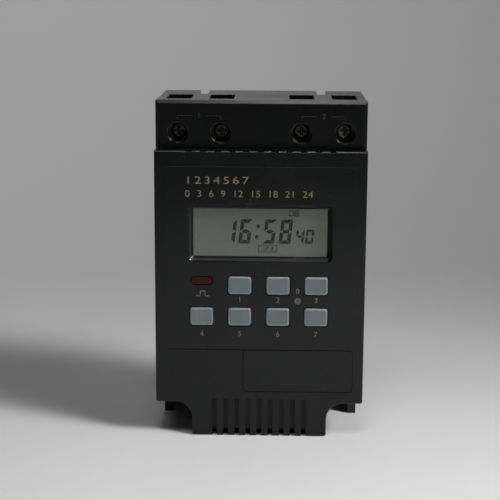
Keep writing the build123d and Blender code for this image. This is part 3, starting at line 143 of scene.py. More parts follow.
class Recipe:
    """Node tree of one finish, read in each piece's own coordinates.

    Attributes:
        USUAL_LOW: Value that few spots of a soft random pattern lie under.
        USUAL_HIGH: Value that few spots of a soft random pattern lie over.
        EDGE_SAMPLES: Rays that look for a sharp edge.
        EDGE: How well the rounded direction agrees with the flat one where the mask of an edge
            starts, and where it is whole.
        SLOPE: How squarely a face looks to the front where the mask of a slope starts, and where
            it is whole.
        FALL: How far a face looks up and to the right where the mask of a fall starts, and where
            it is whole.
    """

    USUAL_LOW: ClassVar[float] = 0.3
    USUAL_HIGH: ClassVar[float] = 0.7
    EDGE_SAMPLES: ClassVar[int] = 4
    EDGE: ClassVar[tuple[float, float]] = (0.995, 0.8)
    SLOPE: ClassVar[tuple[float, float]] = (0.985, 0.9)
    FALL: ClassVar[tuple[float, float]] = (0.1, -0.3)

    def __init__(self, name: str) -> None:
        """Start an empty material with its shader.

        Args:
            name: Name of the material.
        """
        self.material = bpy.data.materials.new(name)
        self.material.use_nodes = True
        self.tree = self.material.node_tree
        self.tree.nodes.clear()
        self.shader = self.add("ShaderNodeBsdfPrincipled")
        self.output = self.add("ShaderNodeOutputMaterial")
        self.tree.links.new(self.shader.outputs[0], self.output.inputs["Surface"])
        self.place = self.add("ShaderNodeTexCoord").outputs["Object"]
        self.normal: bpy.types.NodeSocket | None = None

    def add(self, kind: str, **settings: object) -> bpy.types.Node:
        """Add a node.

        Args:
            kind: Blender's name for the node type.
            **settings: Properties to set on it.

        Returns:
            The new node.
        """
        node = self.tree.nodes.new(kind)
        for key, setting in settings.items():
            setattr(node, key, setting)
        return node

    def feed(self, socket: bpy.types.NodeSocket, value: Value) -> None:
        """Link a socket to another, or set its constant.

        Args:
            socket: Input to fill.
            value: Output socket, number or colour.
        """
        if isinstance(value, bpy.types.NodeSocket):
            self.tree.links.new(value, socket)
        elif socket.type == "RGBA" and not isinstance(value, (int, float)):
            socket.default_value = (*value[:3], 1.0)
        else:
            socket.default_value = value

    def surface(self, **sockets: Value) -> None:
        """Set inputs of the shader by their names, with underscores for the spaces."""
        for key, value in sockets.items():
            self.feed(self.shader.inputs[key.replace("_", " ")], value)

    def stretched(self, stretch: Sequence[float]) -> bpy.types.NodeSocket:
        """Coordinates scaled by a factor on each axis.

        Args:
            stretch: Factors on X, Y and Z.

        Returns:
            The vector output.
        """
        mapping = self.add("ShaderNodeMapping")
        self.feed(mapping.inputs["Vector"], self.place)
        mapping.inputs["Scale"].default_value = tuple(stretch)
        return mapping.outputs[0]

    def noise(self, size: float, detail: float = 3.0,
              stretch: Sequence[float] = (1.0, 1.0, 1.0)) -> bpy.types.NodeSocket:
        """Soft random pattern.

        Args:
            size: Size of its blotches in metres.
            detail: How many finer layers it has.
            stretch: Factors on X, Y and Z.

        Returns:
            The pattern's value, from 0 to 1.
        """
        texture = self.add("ShaderNodeTexNoise")
        self.feed(texture.inputs["Vector"], self.stretched(stretch))
        texture.inputs["Scale"].default_value = 1.0 / size
        texture.inputs["Detail"].default_value = detail
        return texture.outputs[0]

    def cells(self, size: float) -> bpy.types.NodeSocket:
        """Distance to the nearest of random points.

        Args:
            size: Mean distance between the points in metres.

        Returns:
            The distance, as a share of the size.
        """
        texture = self.add("ShaderNodeTexVoronoi")
        self.feed(texture.inputs["Vector"], self.place)
        texture.inputs["Scale"].default_value = 1.0 / size
        return texture.outputs["Distance"]

    def bands(self, pitch: float, axis: Axis) -> bpy.types.NodeSocket:
        """Smooth bands across one axis.

        Args:
            pitch: Distance from band to band in metres.
            axis: Direction that the bands follow one another in.

        Returns:
            The bands' value, from 0 to 1.
        """
        texture = self.add("ShaderNodeTexWave", bands_direction=axis.name, wave_profile="SIN")
        self.feed(texture.inputs["Vector"], self.place)
        texture.inputs["Scale"].default_value = math.pi / (10.0 * pitch)
        return texture.outputs["Fac"]

    def remap(self, value: Value, low: float, high: float,
              to_low: float = 0.0, to_high: float = 1.0) -> bpy.types.NodeSocket:
        """Map one range onto another, held at its ends.

        Args:
            value: What is mapped.
            low: Value that becomes to_low.
            high: Value that becomes to_high.
            to_low: Result at low.
            to_high: Result at high.

        Returns:
            The mapped value.
        """
        node = self.add("ShaderNodeMapRange")
        for socket, number in zip(node.inputs, (value, low, high, to_low, to_high)):
            self.feed(socket, number)
        return node.outputs["Result"]

    def vary(self, pattern: Value, low: float = 0.0, high: float = 1.0) -> bpy.types.NodeSocket:
        """Number that follows a soft random pattern, from its low value to its high one."""
        return self.remap(pattern, self.USUAL_LOW, self.USUAL_HIGH, low, high)

    def maths(self, kind: Sum, first: Value, second: Value) -> bpy.types.NodeSocket:
        """Combine two numbers.

        Args:
            kind: How they are combined.
            first: Left number.
            second: Right number.

        Returns:
            The result.
        """
        node = self.add("ShaderNodeMath", operation=kind.value)
        self.feed(node.inputs[0], first)
        self.feed(node.inputs[1], second)
        return node.outputs[0]

    def blend(self, factor: Value, first: Value, second: Value) -> bpy.types.NodeSocket:
        """Mix two colours.

        Args:
            factor: Share of the second colour.
            first: Colour at 0.
            second: Colour at 1.

        Returns:
            The mixed colour.
        """
        node = self.add("ShaderNodeMix", data_type="RGBA")
        self.feed(node.inputs[0], factor)
        self.feed(node.inputs[6], first)
        self.feed(node.inputs[7], second)
        return node.outputs[2]

    def cover(self, body: Value, colour: Colour, mask: Value, share: float) -> bpy.types.NodeSocket:
        """Lay a colour over the body where a mask is whole, as fully as the share says."""
        return self.blend(self.maths(Sum.MULTIPLY, mask, share), body, colour)

    def axis(self, axis: Axis) -> bpy.types.NodeSocket:
        """One coordinate of the point.

        Args:
            axis: Axis that is read.

        Returns:
            The coordinate in metres.
        """
        split = self.add("ShaderNodeSeparateXYZ")
        self.feed(split.inputs[0], self.place)
        return split.outputs[axis.name]

    def between(self, axis: Axis, low: float, high: float, fade: float) -> bpy.types.NodeSocket:
        """Mask of what lies between two places on an axis.

        Args:
            axis: Axis that the places are on.
            low: Lower place in metres.
            high: Higher place in metres.
            fade: Distance over which the mask fades out, in metres.

        Returns:
            The mask, 1 between the places.
        """
        place = self.axis(axis)
        above = self.remap(place, low - fade, low)
        below = self.remap(place, high, high + fade, 1.0, 0.0)
        return self.maths(Sum.MULTIPLY, above, below)

    def sloping(self) -> bpy.types.NodeSocket:
        """Mask of the faces that turn away from the front of the timer, 1 where they do."""
        return self.remap(self.maths(Sum.MULTIPLY, self.lean(Axis.Y), -1.0), *self.SLOPE)

    def falling(self) -> bpy.types.NodeSocket:
        """Mask of the faces that slope down or to the left, 1 where they do."""
        return self.remap(self.maths(Sum.ADD, self.lean(Axis.X), self.lean(Axis.Z)), *self.FALL)

    def lean(self, axis: Axis) -> bpy.types.NodeSocket:
        """How squarely the surface faces along an axis.

        Args:
            axis: Axis that is looked along.

        Returns:
            The share, from -1 to 1.
        """
        split = self.add("ShaderNodeSeparateXYZ")
        self.feed(split.inputs[0], self.add("ShaderNodeTexCoord").outputs["Normal"])
        return split.outputs[axis.name]

    def rounding(self, radius: float) -> bpy.types.NodeSocket:
        """Direction that the surface faces, with its sharp edges rounded.

        Args:
            radius: Radius of the rounding in metres.

        Returns:
            The direction.
        """
        rounded = self.add("ShaderNodeBevel", samples=self.EDGE_SAMPLES)
        rounded.inputs["Radius"].default_value = radius
        return rounded.outputs[0]

    def edges(self, width: float) -> bpy.types.NodeSocket:
        """Mask of the sharp edges.

        Args:
            width: How far the mask reaches from an edge, in metres.

        Returns:
            The mask, 1 on an edge and 0 on a flat.
        """
        dot = self.add("ShaderNodeVectorMath", operation="DOT_PRODUCT")
        self.feed(dot.inputs[0], self.rounding(width))
        self.feed(dot.inputs[1], self.add("ShaderNodeNewGeometry").outputs["True Normal"])
        return self.remap(dot.outputs["Value"], *self.EDGE)

    def soften(self, radius: float) -> None:
        """Round the sharp edges in the shading by a radius in metres."""
        self.normal = self.rounding(radius)

    def relief(self, height: Value, depth: float) -> None:
        """Raise the surface in the shading.

        Args:
            height: Pattern of the relief, from 0 to 1.
            depth: Depth of the relief in metres.
        """
        bump = self.add("ShaderNodeBump")
        bump.inputs["Distance"].default_value = depth
        self.feed(bump.inputs["Height"], height)
        if self.normal is not None:
            self.feed(bump.inputs["Normal"], self.normal)
        self.normal = bump.outputs[0]

    def let_light_through(self) -> None:
        """Let the light of the lamps reach what lies behind the surface."""
        paths = self.add("ShaderNodeLightPath")
        opening = self.add("ShaderNodeBsdfTransparent")
        mix = self.add("ShaderNodeMixShader")
        self.feed(mix.inputs[0], paths.outputs["Is Shadow Ray"])
        self.feed(mix.inputs[1], self.shader.outputs[0])
        self.feed(mix.inputs[2], opening.outputs[0])
        self.feed(self.output.inputs["Surface"], mix.outputs[0])

    def done(self) -> bpy.types.Material:
        """Close the recipe.

        Returns:
            The material.
        """
        if self.normal is not None:
            self.feed(self.shader.inputs["Normal"], self.normal)
        return self.material


@dataclass(frozen=True)
class Moulding:
    """Moulded plastic, resin or ceramic with a fine grain.

    Attributes:
        name: Name of the finish.
        colour: Base colour.
        worn: Colour of its handled edges.
        roughness: Mean roughness.
        grain: Size of the grain in metres.
        grain_depth: Depth of the grain in metres.
        edge: Rounding of its sharp edges in metres.
        specks: Radius of its pale dust specks, as a share of their distance.
        coat: Strength of a clear gloss over it.
        shine: Level of its mirror reflection.
        slopes: Painted light on the faces that slope up or right, and down or left: their colours, if they
            differ.
        glow: Share of light scattered inside it.
        sunk: Y range of the sunken faces that are duller, if any.
        dulling: How much rougher the sunken faces are.
        fade: Distance over which that fades out, in metres.
        cloud: Size of its faint patches in metres.
        rub: Size of the patches of wear on its edges in metres.
        dust: Colour of the dust specks.
        dust_spacing: Mean distance between the specks in metres.
    """

    name: str
    colour: Colour
    worn: Colour
    roughness: float = 0.45
    grain: float = 0.35 * MM
    grain_depth: float = 0.012 * MM
    edge: float = 0.25 * MM
    specks: float = 0.0
    coat: float = 0.0
    shine: float = 0.5
    slopes: tuple[Colour, Colour] | None = None
    glow: float = 0.0
    sunk: tuple[float, float] | None = None
    dulling: float = 0.22
    fade: float = 0.05 * MM
    cloud: float = 14 * MM
    rub: float = 3 * MM
    dust: Colour = (0.55, 0.55, 0.52)
    dust_spacing: float = 4 * MM

    def make(self) -> bpy.types.Material:
        """Build the material.

        Returns:
            The finished material.
        """
        recipe = Recipe(self.name)
        cloud = recipe.noise(self.cloud, detail=4.0)
        dark, light = scaled(self.colour, 0.86), scaled(self.colour, 1.12)
        body = recipe.blend(recipe.vary(cloud), dark, light)
        # Painted light: faces that turn away from the front take the slope colours, and those that slope
        # down or to the left are painted lighter, as if lit.
        if self.slopes:
            painted_bevel_light = recipe.blend(recipe.falling(), *self.slopes)
            body = recipe.blend(recipe.sloping(), body, painted_bevel_light)
        patches = recipe.remap(recipe.noise(self.rub), 0.35, 0.7, 0.15, 0.8)
        rub = recipe.maths(Sum.MULTIPLY, recipe.edges(self.edge), patches)
        body = recipe.blend(rub, body, self.worn)
        if self.specks:
            dust = recipe.remap(recipe.cells(self.dust_spacing), self.specks, 0.4 * self.specks)
            body = recipe.cover(body, self.dust, dust, share=0.35)
        sheen = recipe.remap(cloud, 0.25, 0.75, self.roughness - 0.05, self.roughness + 0.05)
        sheen = recipe.maths(Sum.ADD, sheen, recipe.maths(Sum.MULTIPLY, rub, -0.12))
        if self.sunk:
            dull = recipe.between(Axis.Y, *self.sunk, self.fade)
            sheen = recipe.maths(Sum.ADD, sheen, recipe.maths(Sum.MULTIPLY, dull, self.dulling))
        recipe.soften(self.edge)
        recipe.relief(recipe.noise(self.grain, detail=2.0), self.grain_depth)
        recipe.surface(Base_Color=body, Roughness=sheen, Coat_Weight=self.coat, Coat_Roughness=0.12,
                       Specular_IOR_Level=self.shine, Subsurface_Weight=self.glow,
                       Subsurface_Radius=(1.0, 1.0, 1.0), Subsurface_Scale=1.5 * MM)
        return recipe.done()


@dataclass(frozen=True)
class Metal:
    """Plated or rolled metal.

    Attributes:
        name: Name of the finish.
        colour: Colour of the clean metal.
        dull: Colour of its stained patches.
        roughness: Mean roughness.
        grain_axis: Direction of the brush or roll marks.
        edge: Rounding of its sharp edges in metres.
        rim: How much brighter its edges are: rubbed wear, and on the screw heads a painted glint.
        mark: Width of the brush or roll marks in metres.
        mark_depth: Depth of the marks in metres.
        patch: Size of its stained patches in metres.
    """

    name: str
    colour: Colour
    dull: Colour
    roughness: float = 0.3
    grain_axis: Axis = Axis.Z
    edge: float = 0.15 * MM
    rim: float = 1.25
    mark: float = 0.25 * MM
    mark_depth: float = 0.006 * MM
    patch: float = 2.4 * MM

    def make(self) -> bpy.types.Material:
        """Build the material.

        Returns:
            The finished material.
        """
        recipe = Recipe(self.name)
        along = [1.0 - 0.92 * part for part in self.grain_axis.value]
        marks = recipe.noise(self.mark, stretch=along)
        stain = recipe.remap(recipe.noise(self.patch, detail=4.0), 0.42, 0.68)
        # Lighter edges: rubbed wear at the usual strength, and a painted glint where the strength is high,
        # as on the screw heads.
        rub_and_glint_colour = scaled(self.colour, self.rim)
        body = recipe.cover(self.colour, self.dull, stain, share=0.7)
        body = recipe.cover(body, rub_and_glint_colour, recipe.edges(self.edge), share=0.6)
        rough = recipe.remap(marks, 0.2, 0.8, self.roughness - 0.08, self.roughness + 0.08)
        rough = recipe.maths(Sum.ADD, rough, recipe.maths(Sum.MULTIPLY, stain, 0.12))
        recipe.soften(self.edge)
        recipe.relief(marks, self.mark_depth)
        recipe.surface(Base_Color=body, Metallic=1.0, Roughness=rough)
        return recipe.done()


@dataclass(frozen=True)
class Winding:
    """Wire wound in close turns, or ribs, bands or cores side by side.

    Attributes:
        name: Name of the finish.
        colour: Colour of the crowns.
        groove: Colour between the turns.
        pitch: Distance from turn to turn in metres.
        axis: Direction that the turns follow one another in.
        metallic: Share of metal in the look.
        patch: Size of its darker patches in metres.
    """

    name: str
    colour: Colour
    groove: Colour
    pitch: float
    axis: Axis
    metallic: float
    patch: float = 3 * MM

    def make(self) -> bpy.types.Material:
        """Build the material.

        Returns:
            The finished material.
        """
        recipe = Recipe(self.name)
        turns = recipe.bands(self.pitch, self.axis)
        body = recipe.blend(recipe.remap(turns, 0.05, 0.5), self.groove, self.colour)
        patches = recipe.remap(recipe.noise(self.patch), 0.4, 0.7)
        shade = scaled(self.colour, 0.75)
        body = recipe.cover(body, shade, patches, share=0.5)
        recipe.relief(turns, 0.2 * self.pitch)
        recipe.surface(Base_Color=body, Metallic=self.metallic,
                       Roughness=recipe.remap(turns, 0.0, 1.0, 0.5, 0.28))
        return recipe.done()


@dataclass(frozen=True)
class PrintedBoard:
    """Green circuit board with its tracks under the solder resist.

    Attributes:
        name: Name of the finish.
        resist: Colour between the tracks.
        track: Colour of the tracks.
        edge: Colour of the cut edges.
        edge_width: Width of the cut edges in metres.
        pitch: Distance from track to track in metres.
        field_size: Size of a field of tracks that run one way, in metres.
        weave: Size of the glass weave in metres.
        height: Height of the tracks in metres.
    """

    name: str = "circuit_board"
    resist: Colour = (0.02, 0.13, 0.05)
    track: Colour = (0.05, 0.26, 0.08)
    edge: Colour = (0.42, 0.36, 0.18)
    edge_width: float = 0.2 * MM
    pitch: float = 2.54 * MM
    field_size: float = 9 * MM
    weave: float = 0.3 * MM
    height: float = 0.03 * MM

    def make(self) -> bpy.types.Material:
        """Build the material.

        Returns:
            The finished material.
        """
        recipe = Recipe(self.name)
        rows = recipe.remap(recipe.bands(self.pitch, Axis.Z), 0.62, 0.7)
        columns = recipe.remap(recipe.bands(self.pitch, Axis.X), 0.62, 0.7)
        area = recipe.remap(recipe.noise(self.field_size, detail=0.0), 0.48, 0.5)
        across = recipe.maths(Sum.MULTIPLY, rows, area)
        along = recipe.maths(Sum.MULTIPLY, columns, recipe.maths(Sum.SUBTRACT, 1.0, area))
        tracks = recipe.maths(Sum.LARGER, across, along)
        weave = recipe.noise(self.weave, detail=2.0, stretch=(1.0, 1.0, 0.2))
        body = recipe.blend(tracks, self.resist, self.track)
        body = recipe.cover(body, self.edge, recipe.edges(self.edge_width), share=0.6)
        recipe.relief(recipe.maths(Sum.ADD, tracks, recipe.maths(Sum.MULTIPLY, weave, 0.3)), self.height)
        recipe.surface(Base_Color=body, Roughness=recipe.remap(weave, 0.2, 0.8, 0.3, 0.42),
                       Coat_Weight=0.3)
        return recipe.done()


@dataclass(frozen=True)
class ClearPane:
    """Clear acrylic of the display window, with faint hairline wear.

    Attributes:
        name: Name of the finish.
        tint: Colour of its clear patches.
        haze: Colour of its hazy patches.
        patch: Size of the patches in metres.
        hairline: Width of the hairlines in metres.
        hairline_depth: Depth of the hairlines in metres.
    """

    name: str = "clear_acrylic"
    tint: Colour = (0.93, 0.96, 0.93)
    haze: Colour = (0.88, 0.93, 0.89)
    patch: float = 9 * MM
    hairline: float = 0.5 * MM
    hairline_depth: float = 0.0008 * MM

    def make(self) -> bpy.types.Material:
        """Build the material.

        Returns:
            The finished material.
        """
        recipe = Recipe(self.name)
        hairlines = recipe.noise(self.hairline, detail=2.0, stretch=(0.12, 1.0, 1.0))
        recipe.relief(hairlines, self.hairline_depth)
        recipe.surface(Base_Color=recipe.blend(recipe.noise(self.patch), self.tint, self.haze),
                       Roughness=recipe.remap(hairlines, 0.4, 0.8, 0.0, 0.02), IOR=1.3,
                       Transmission_Weight=1.0, Specular_IOR_Level=0.15)
        recipe.let_light_through()
        return recipe.done()


@dataclass(frozen=True)
class DisplayGlass:
    """Grey-green reflecting glass of the liquid crystal panel.

    Attributes:
        name: Name of the finish.
        colour: Base colour.
        glow: Painted light that it gives off by itself, evening out the shade that its window's frame casts
            on it.
        dim: Colour of its faint patches.
        patch: Size of the patches in metres.
        sparkle: Colour of its bright grains.
        grain: Size of the grains in metres.
        grain_depth: Depth of the grains in metres.
    """

    name: str = "display_glass"
    colour: Colour = (0.033, 0.038, 0.034)
    glow: Colour = (0.051, 0.059, 0.053)
    dim: Colour = (0.025, 0.029, 0.026)
    patch: float = 7 * MM
    sparkle: Colour = (0.084, 0.096, 0.087)
    grain: float = 0.12 * MM
    grain_depth: float = 0.002 * MM

    def make(self) -> bpy.types.Material:
        """Build the material.

        Returns:
            The finished material.
        """
        recipe = Recipe(self.name)
        grain = recipe.noise(self.grain, detail=1.0)
        cloud = recipe.noise(self.patch, detail=2.0)
        body = recipe.blend(recipe.vary(cloud, 0.0, 0.2), self.colour, self.dim)
        body = recipe.blend(recipe.vary(grain, 0.0, 0.12), body, self.sparkle)
        recipe.relief(grain, self.grain_depth)
        # The emission is painted light: a faint glow that evens out the shade on the panel.
        recipe.surface(Base_Color=body, Roughness=recipe.vary(cloud, 0.38, 0.5),
                       Specular_IOR_Level=0.15, Emission_Color=self.glow, Emission_Strength=1.0)
        return recipe.done()


@dataclass(frozen=True)
class TintedLens:
    """Deep red moulding that lets some light through.

    Attributes:
        name: Name of the finish.
        colour: Colour of its body.
        glow: Share of light scattered inside it.
        shine: Level of its mirror reflection.
        rib: Distance from rib to rib in metres.
        rib_depth: Depth of the ribs in metres.
        patch: Size of its deeper patches in metres.
        edge: Rounding of its sharp edges in metres.
    """

    name: str
    colour: Colour
    glow: float
    shine: float = 0.5
    rib: float = 0.5 * MM
    rib_depth: float = 0.01 * MM
    patch: float = 1.6 * MM
    edge: float = 0.2 * MM

    def make(self) -> bpy.types.Material:
        """Build the material.

        Returns:
            The finished material.
        """
        recipe = Recipe(self.name)
        cloud = recipe.noise(self.patch, detail=2.0)
        deep = scaled(self.colour, 0.55)
        recipe.soften(self.edge)
        recipe.relief(recipe.bands(self.rib, Axis.X), self.rib_depth)
        recipe.surface(Base_Color=recipe.blend(cloud, deep, self.colour),
                       Roughness=recipe.vary(cloud, 0.12, 0.24),
                       Subsurface_Weight=self.glow, Subsurface_Radius=(1.0, 0.3, 0.3),
                       Subsurface_Scale=1.0 * MM, Specular_IOR_Level=self.shine)
        return recipe.done()


@dataclass(frozen=True)
class Ink:
    """Printed or driven ink with slightly uneven cover.

    Attributes:
        name: Name of the finish.
        colour: Colour of the full cover.
        thin: Colour where the cover is thin.
        roughness: Mean roughness.
        shine: Level of its mirror reflection.
        grain: Size of its thin spots in metres.
        grain_depth: Depth of the thin spots in metres.
    """

    name: str
    colour: Colour
    thin: Colour
    roughness: float = 0.5
    shine: float = 0.3
    grain: float = 0.3 * MM
    grain_depth: float = 0.004 * MM

    def make(self) -> bpy.types.Material:
        """Build the material.

        Returns:
            The finished material.
        """
        recipe = Recipe(self.name)
        spots = recipe.noise(self.grain)
        recipe.relief(spots, self.grain_depth)
        recipe.surface(Base_Color=recipe.blend(recipe.remap(spots, 0.45, 0.75), self.colour, self.thin),
                       Roughness=recipe.vary(spots, self.roughness - 0.06, self.roughness + 0.06),
                       Specular_IOR_Level=self.shine)
        return recipe.done()


Finish = Moulding | Metal | Winding | PrintedBoard | ClearPane | DisplayGlass | TintedLens | Ink

BLACK_CASE = Moulding("black_case", (0.0016, 0.0021, 0.0019), (0.026, 0.028, 0.026), 0.25,
                      grain_depth=0.003 * MM, edge=0.12 * MM, specks=0.012, shine=0.33)
SEGMENT_INK = Ink("driven_segment", (0.004, 0.006, 0.007), (0.008, 0.010, 0.011), 0.5, 0.05)
PANEL_INK = Ink("panel_ink", (0.17, 0.15, 0.095), (0.11, 0.10, 0.065))
TERMINAL_INK = Ink("pale_ink", (0.035, 0.036, 0.034), (0.018, 0.018, 0.018))

SLOT_FINISHES: dict[Slot, Finish] = {
    Slot.CASE: BLACK_CASE,
    # The key's bevels that slope down or to the left are painted lighter: painted light.
    Slot.KEY: Moulding("grey_key", (0.136, 0.153, 0.165), (0.30, 0.33, 0.35), 0.36, grain=0.5 * MM,
                       grain_depth=0.003 * MM, edge=0.14 * MM, shine=0.3, glow=0.3,
                       slopes=((0.14, 0.155, 0.168), (0.36, 0.39, 0.41))),
    Slot.WINDOW: ClearPane(),
    Slot.LCD: DisplayGlass(),
    Slot.LENS: TintedLens("red_lens", (0.033, 0.001, 0.002), 0.1, 0.22),
    Slot.LED: TintedLens("red_lamp", (0.45, 0.02, 0.02), 0.5),
    Slot.WHITE_PLASTIC: Moulding("white_moulding", (0.66, 0.66, 0.63), (0.78, 0.78, 0.76), 0.5),
    Slot.RUBBER: Winding("contact_rubber", (0.22, 0.22, 0.24), (0.03, 0.03, 0.03), 0.3 * MM, Axis.X, 0.0),
    Slot.PLATED_STEEL: Metal("plated_steel", (0.52, 0.50, 0.43), (0.30, 0.26, 0.19), 0.24),
    Slot.BRASS: Metal("rolled_brass", (0.78, 0.58, 0.27), (0.42, 0.27, 0.12), 0.28),
    Slot.BOARD: PrintedBoard(),
    Slot.CHIP: Moulding("black_resin", (0.018, 0.018, 0.02), (0.05, 0.05, 0.055), 0.55),
    Slot.SWITCH: Moulding("switch_body", (0.025, 0.025, 0.027), (0.07, 0.07, 0.07), 0.5),
    Slot.RELAY: Moulding("blue_relay", (0.012, 0.03, 0.09), (0.05, 0.08, 0.16), 0.34, coat=0.2),
    Slot.COPPER: Winding("copper_winding", (0.72, 0.30, 0.13), (0.14, 0.04, 0.015), 0.4 * MM, Axis.X, 0.9),
    Slot.IRON: Metal("soft_iron", (0.42, 0.42, 0.43), (0.24, 0.22, 0.20), 0.42, Axis.X),
    Slot.FILM_CAPACITOR: Moulding("amber_potting", (0.52, 0.20, 0.02), (0.65, 0.34, 0.10), 0.28, coat=0.4),
    Slot.CAN_CAPACITOR: Moulding("dark_sleeve", (0.012, 0.02, 0.06), (0.06, 0.08, 0.14), 0.25, coat=0.3),
    Slot.VARISTOR: Moulding("blue_ceramic", (0.03, 0.12, 0.36), (0.10, 0.24, 0.48), 0.4),
    Slot.RESISTOR: Winding("banded_ceramic", (0.56, 0.44, 0.26), (0.20, 0.08, 0.03), 2.4 * MM, Axis.X, 0.0),
    Slot.CABLE: Winding("ribbed_cable", (0.46, 0.46, 0.48), (0.16, 0.16, 0.17), 1.27 * MM, Axis.X, 0.0),
}

NODE_FINISHES: dict[str, Finish] = {
    "front_cover": replace(BLACK_CASE, name="front_black", sunk=GROOVE_FLOORS),
    "rear_case": replace(BLACK_CASE, name="rear_case_black", colour=(0.0018, 0.0023, 0.0021),
                         worn=(0.012, 0.013, 0.012), shine=0.5),
    # Reset key: bluer and darker than the other keys. Its own bluer grey is darkened further by painted
    # shade of a recess.
    "reset_key": Moulding("reset_key_grey_painted_shade", (0.075, 0.087, 0.108), (0.14, 0.16, 0.18), 0.4, grain=0.5 * MM,
                          grain_depth=0.003 * MM, edge=0.08 * MM, shine=0.3),
    # Terminal screws: a darker, yellower copy of the plated steel. Its own yellowed plating is darkened
    # further by painted shade of the deep holes, and the high edge factor paints glints on the heads'
    # edges.
    **dict.fromkeys(SCREWS, Metal("yellowed_screw_painted_shade_and_glint", (0.11, 0.10, 0.075), (0.05, 0.04, 0.025), 0.2,
                                  edge=0.3 * MM, rim=9.0)),
}


class FlatArt:
    """Thin marks that lie in a plane facing the front, such as print or display segments.

    Attributes:
        END_STEPS: Steps in the half circle at a line's end.
        CURVE_STEPS: Steps in each curve of a number.
        DIGIT_SHARE: Height of a digit as a share of the type size.
        WELD: Points nearer to each other than this, in metres, are joined.
    """

    END_STEPS: ClassVar[int] = 6
    CURVE_STEPS: ClassVar[int] = 4
    DIGIT_SHARE: ClassVar[float] = 0.69
    WELD: ClassVar[float] = 0.0005 * MM

    def __init__(self, back: float, thickness: float) -> None:
        """Start an empty mark.

        Args:
            back: Y of the face that the marks lie on.
            thickness: How far they stand proud of it.
        """
        self.back = back
        self.thickness = thickness
        self.mesh = bmesh.new()

    def outline(self, points: Outline) -> None:
        """Add a closed shape.

        Args:
            points: Corners as (x, z), in order.
        """
        area = sum(a[0] * b[1] - b[0] * a[1] for a, b in zip(points, [*points[1:], points[0]]))
        ordered = list(points) if area > 0 else list(reversed(points))
        front = [self.mesh.verts.new((x, self.back - self.thickness, z)) for x, z in ordered]
        rear = [self.mesh.verts.new((x, self.back, z)) for x, z in ordered]
        self.mesh.faces.new(front)
        self.mesh.faces.new(list(reversed(rear)))
        for place, corner in enumerate(front):
            after = (place + 1) % len(front)
            self.mesh.faces.new((corner, rear[place], rear[after], front[after]))

    def stroke(self, start: Point, end: Point, width: float) -> None:
        """Add a straight line with rounded ends.

        Args:
            start: First end as (x, z).
            end: Second end as (x, z).
            width: Width of the line.
        """
        turn = math.atan2(end[1] - start[1], end[0] - start[0])
        points = []
        for centre, first in ((end, turn - math.pi / 2), (start, turn + math.pi / 2)):
            for step in range(self.END_STEPS + 1):
                angle = first + step * math.pi / self.END_STEPS
                points.append((centre[0] + width / 2 * math.cos(angle),
                               centre[1] + width / 2 * math.sin(angle)))
        self.outline(points)

    def number(self, text: str, centre: Point, height: float, spread: float = 1.0,
               widen: float = 1.0, align: Align = Align.MIDDLE) -> None:
        """Add a plain number.

        Args:
            text: Digits to write.
            centre: Middle of the number, or its left end, as (x, z).
            height: Height of its digits.
            spread: How wide the digits are set.
            widen: How much wider each digit is than usual.
            align: How it lies on its place.
        """
        writing = bpy.data.curves.new("number", "FONT")
        writing.body = text
        writing.space_character = spread
        writing.align_x = align.value
        writing.align_y = Align.MIDDLE.value
        writing.size = height / self.DIGIT_SHARE
        writing.extrude = self.thickness / 2
        writing.resolution_u = self.CURVE_STEPS
        carrier = bpy.data.objects.new("number", writing)
        solid = bpy.data.meshes.new_from_object(carrier)
        middle = Vector((centre[0], self.back - self.thickness / 2, centre[1]))
        solid.transform(Matrix.Translation(middle) @ Matrix.Rotation(math.pi / 2, 4, "X")
                        @ Matrix.Diagonal((widen, 1.0, 1.0, 1.0)))
        self.mesh.from_mesh(solid)
        bpy.data.objects.remove(carrier)
        bpy.data.curves.remove(writing)
        bpy.data.meshes.remove(solid)

    def build(self, name: str) -> bpy.types.Object:
        """Make the object.

        Args:
            name: Name of the piece.

        Returns:
            The finished object.
        """
        bmesh.ops.remove_doubles(self.mesh, verts=self.mesh.verts, dist=self.WELD)
        data = bpy.data.meshes.new(name)
        self.mesh.to_mesh(data)
        self.mesh.free()
        piece = bpy.data.objects.new(name, data)
        bpy.context.scene.collection.objects.link(piece)
        return piece


def dress(piece: bpy.types.Object, finish: bpy.types.Material) -> None:
    """Give a piece one finish in all its slots.

    Args:
        piece: Object to dress.
        finish: Material to use.
    """
    piece.data.materials.clear()
    piece.data.materials.append(finish)
    for place in piece.material_slots:
        place.material = finish


def front_middle(node: str) -> Point:
    """Middle of a node, seen from the front.

    Args:
        node: Name of the node.

    Returns:
        The middle as (x, z).
    """
    low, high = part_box(node)
    return (low.x + high.x) / 2, (low.z + high.z) / 2


@dataclass
class Solids:
    """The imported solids, dressed by the record's material slots.

    Attributes:
        made: The materials made so far, by their finish.
    """

    made: dict[Finish, bpy.types.Material] = field(default_factory=dict)

    def dress(self) -> None:
        """Put on each node the finish of its slot, or its own."""
        for subpart in frame["record"]["subparts"]:
            node = subpart["node"]
            finish = NODE_FINISHES.get(node) or SLOT_FINISHES[Slot(subpart["material_slot"])]
            if finish not in self.made:
                self.made[finish] = finish.make()
            dress(frame["nodes"][node], self.made[finish])
            LOG.info("dressed %s with %s", node, finish.name)


@dataclass(frozen=True)
class DigitRow:
    """Row of seven-segment digits, in millimetres.

    Attributes:
        digits: Each digit and the X of its lower left corner.
        low: Z of its lower edge.
        width: Width of a digit before it slants.
        height: Height of a digit.
        stroke: Width of a segment.
        gap: Half the gap between two segments.
    """

    digits: tuple[tuple[str, float], ...]
    low: float
    width: float
    height: float
    stroke: float
    gap: float


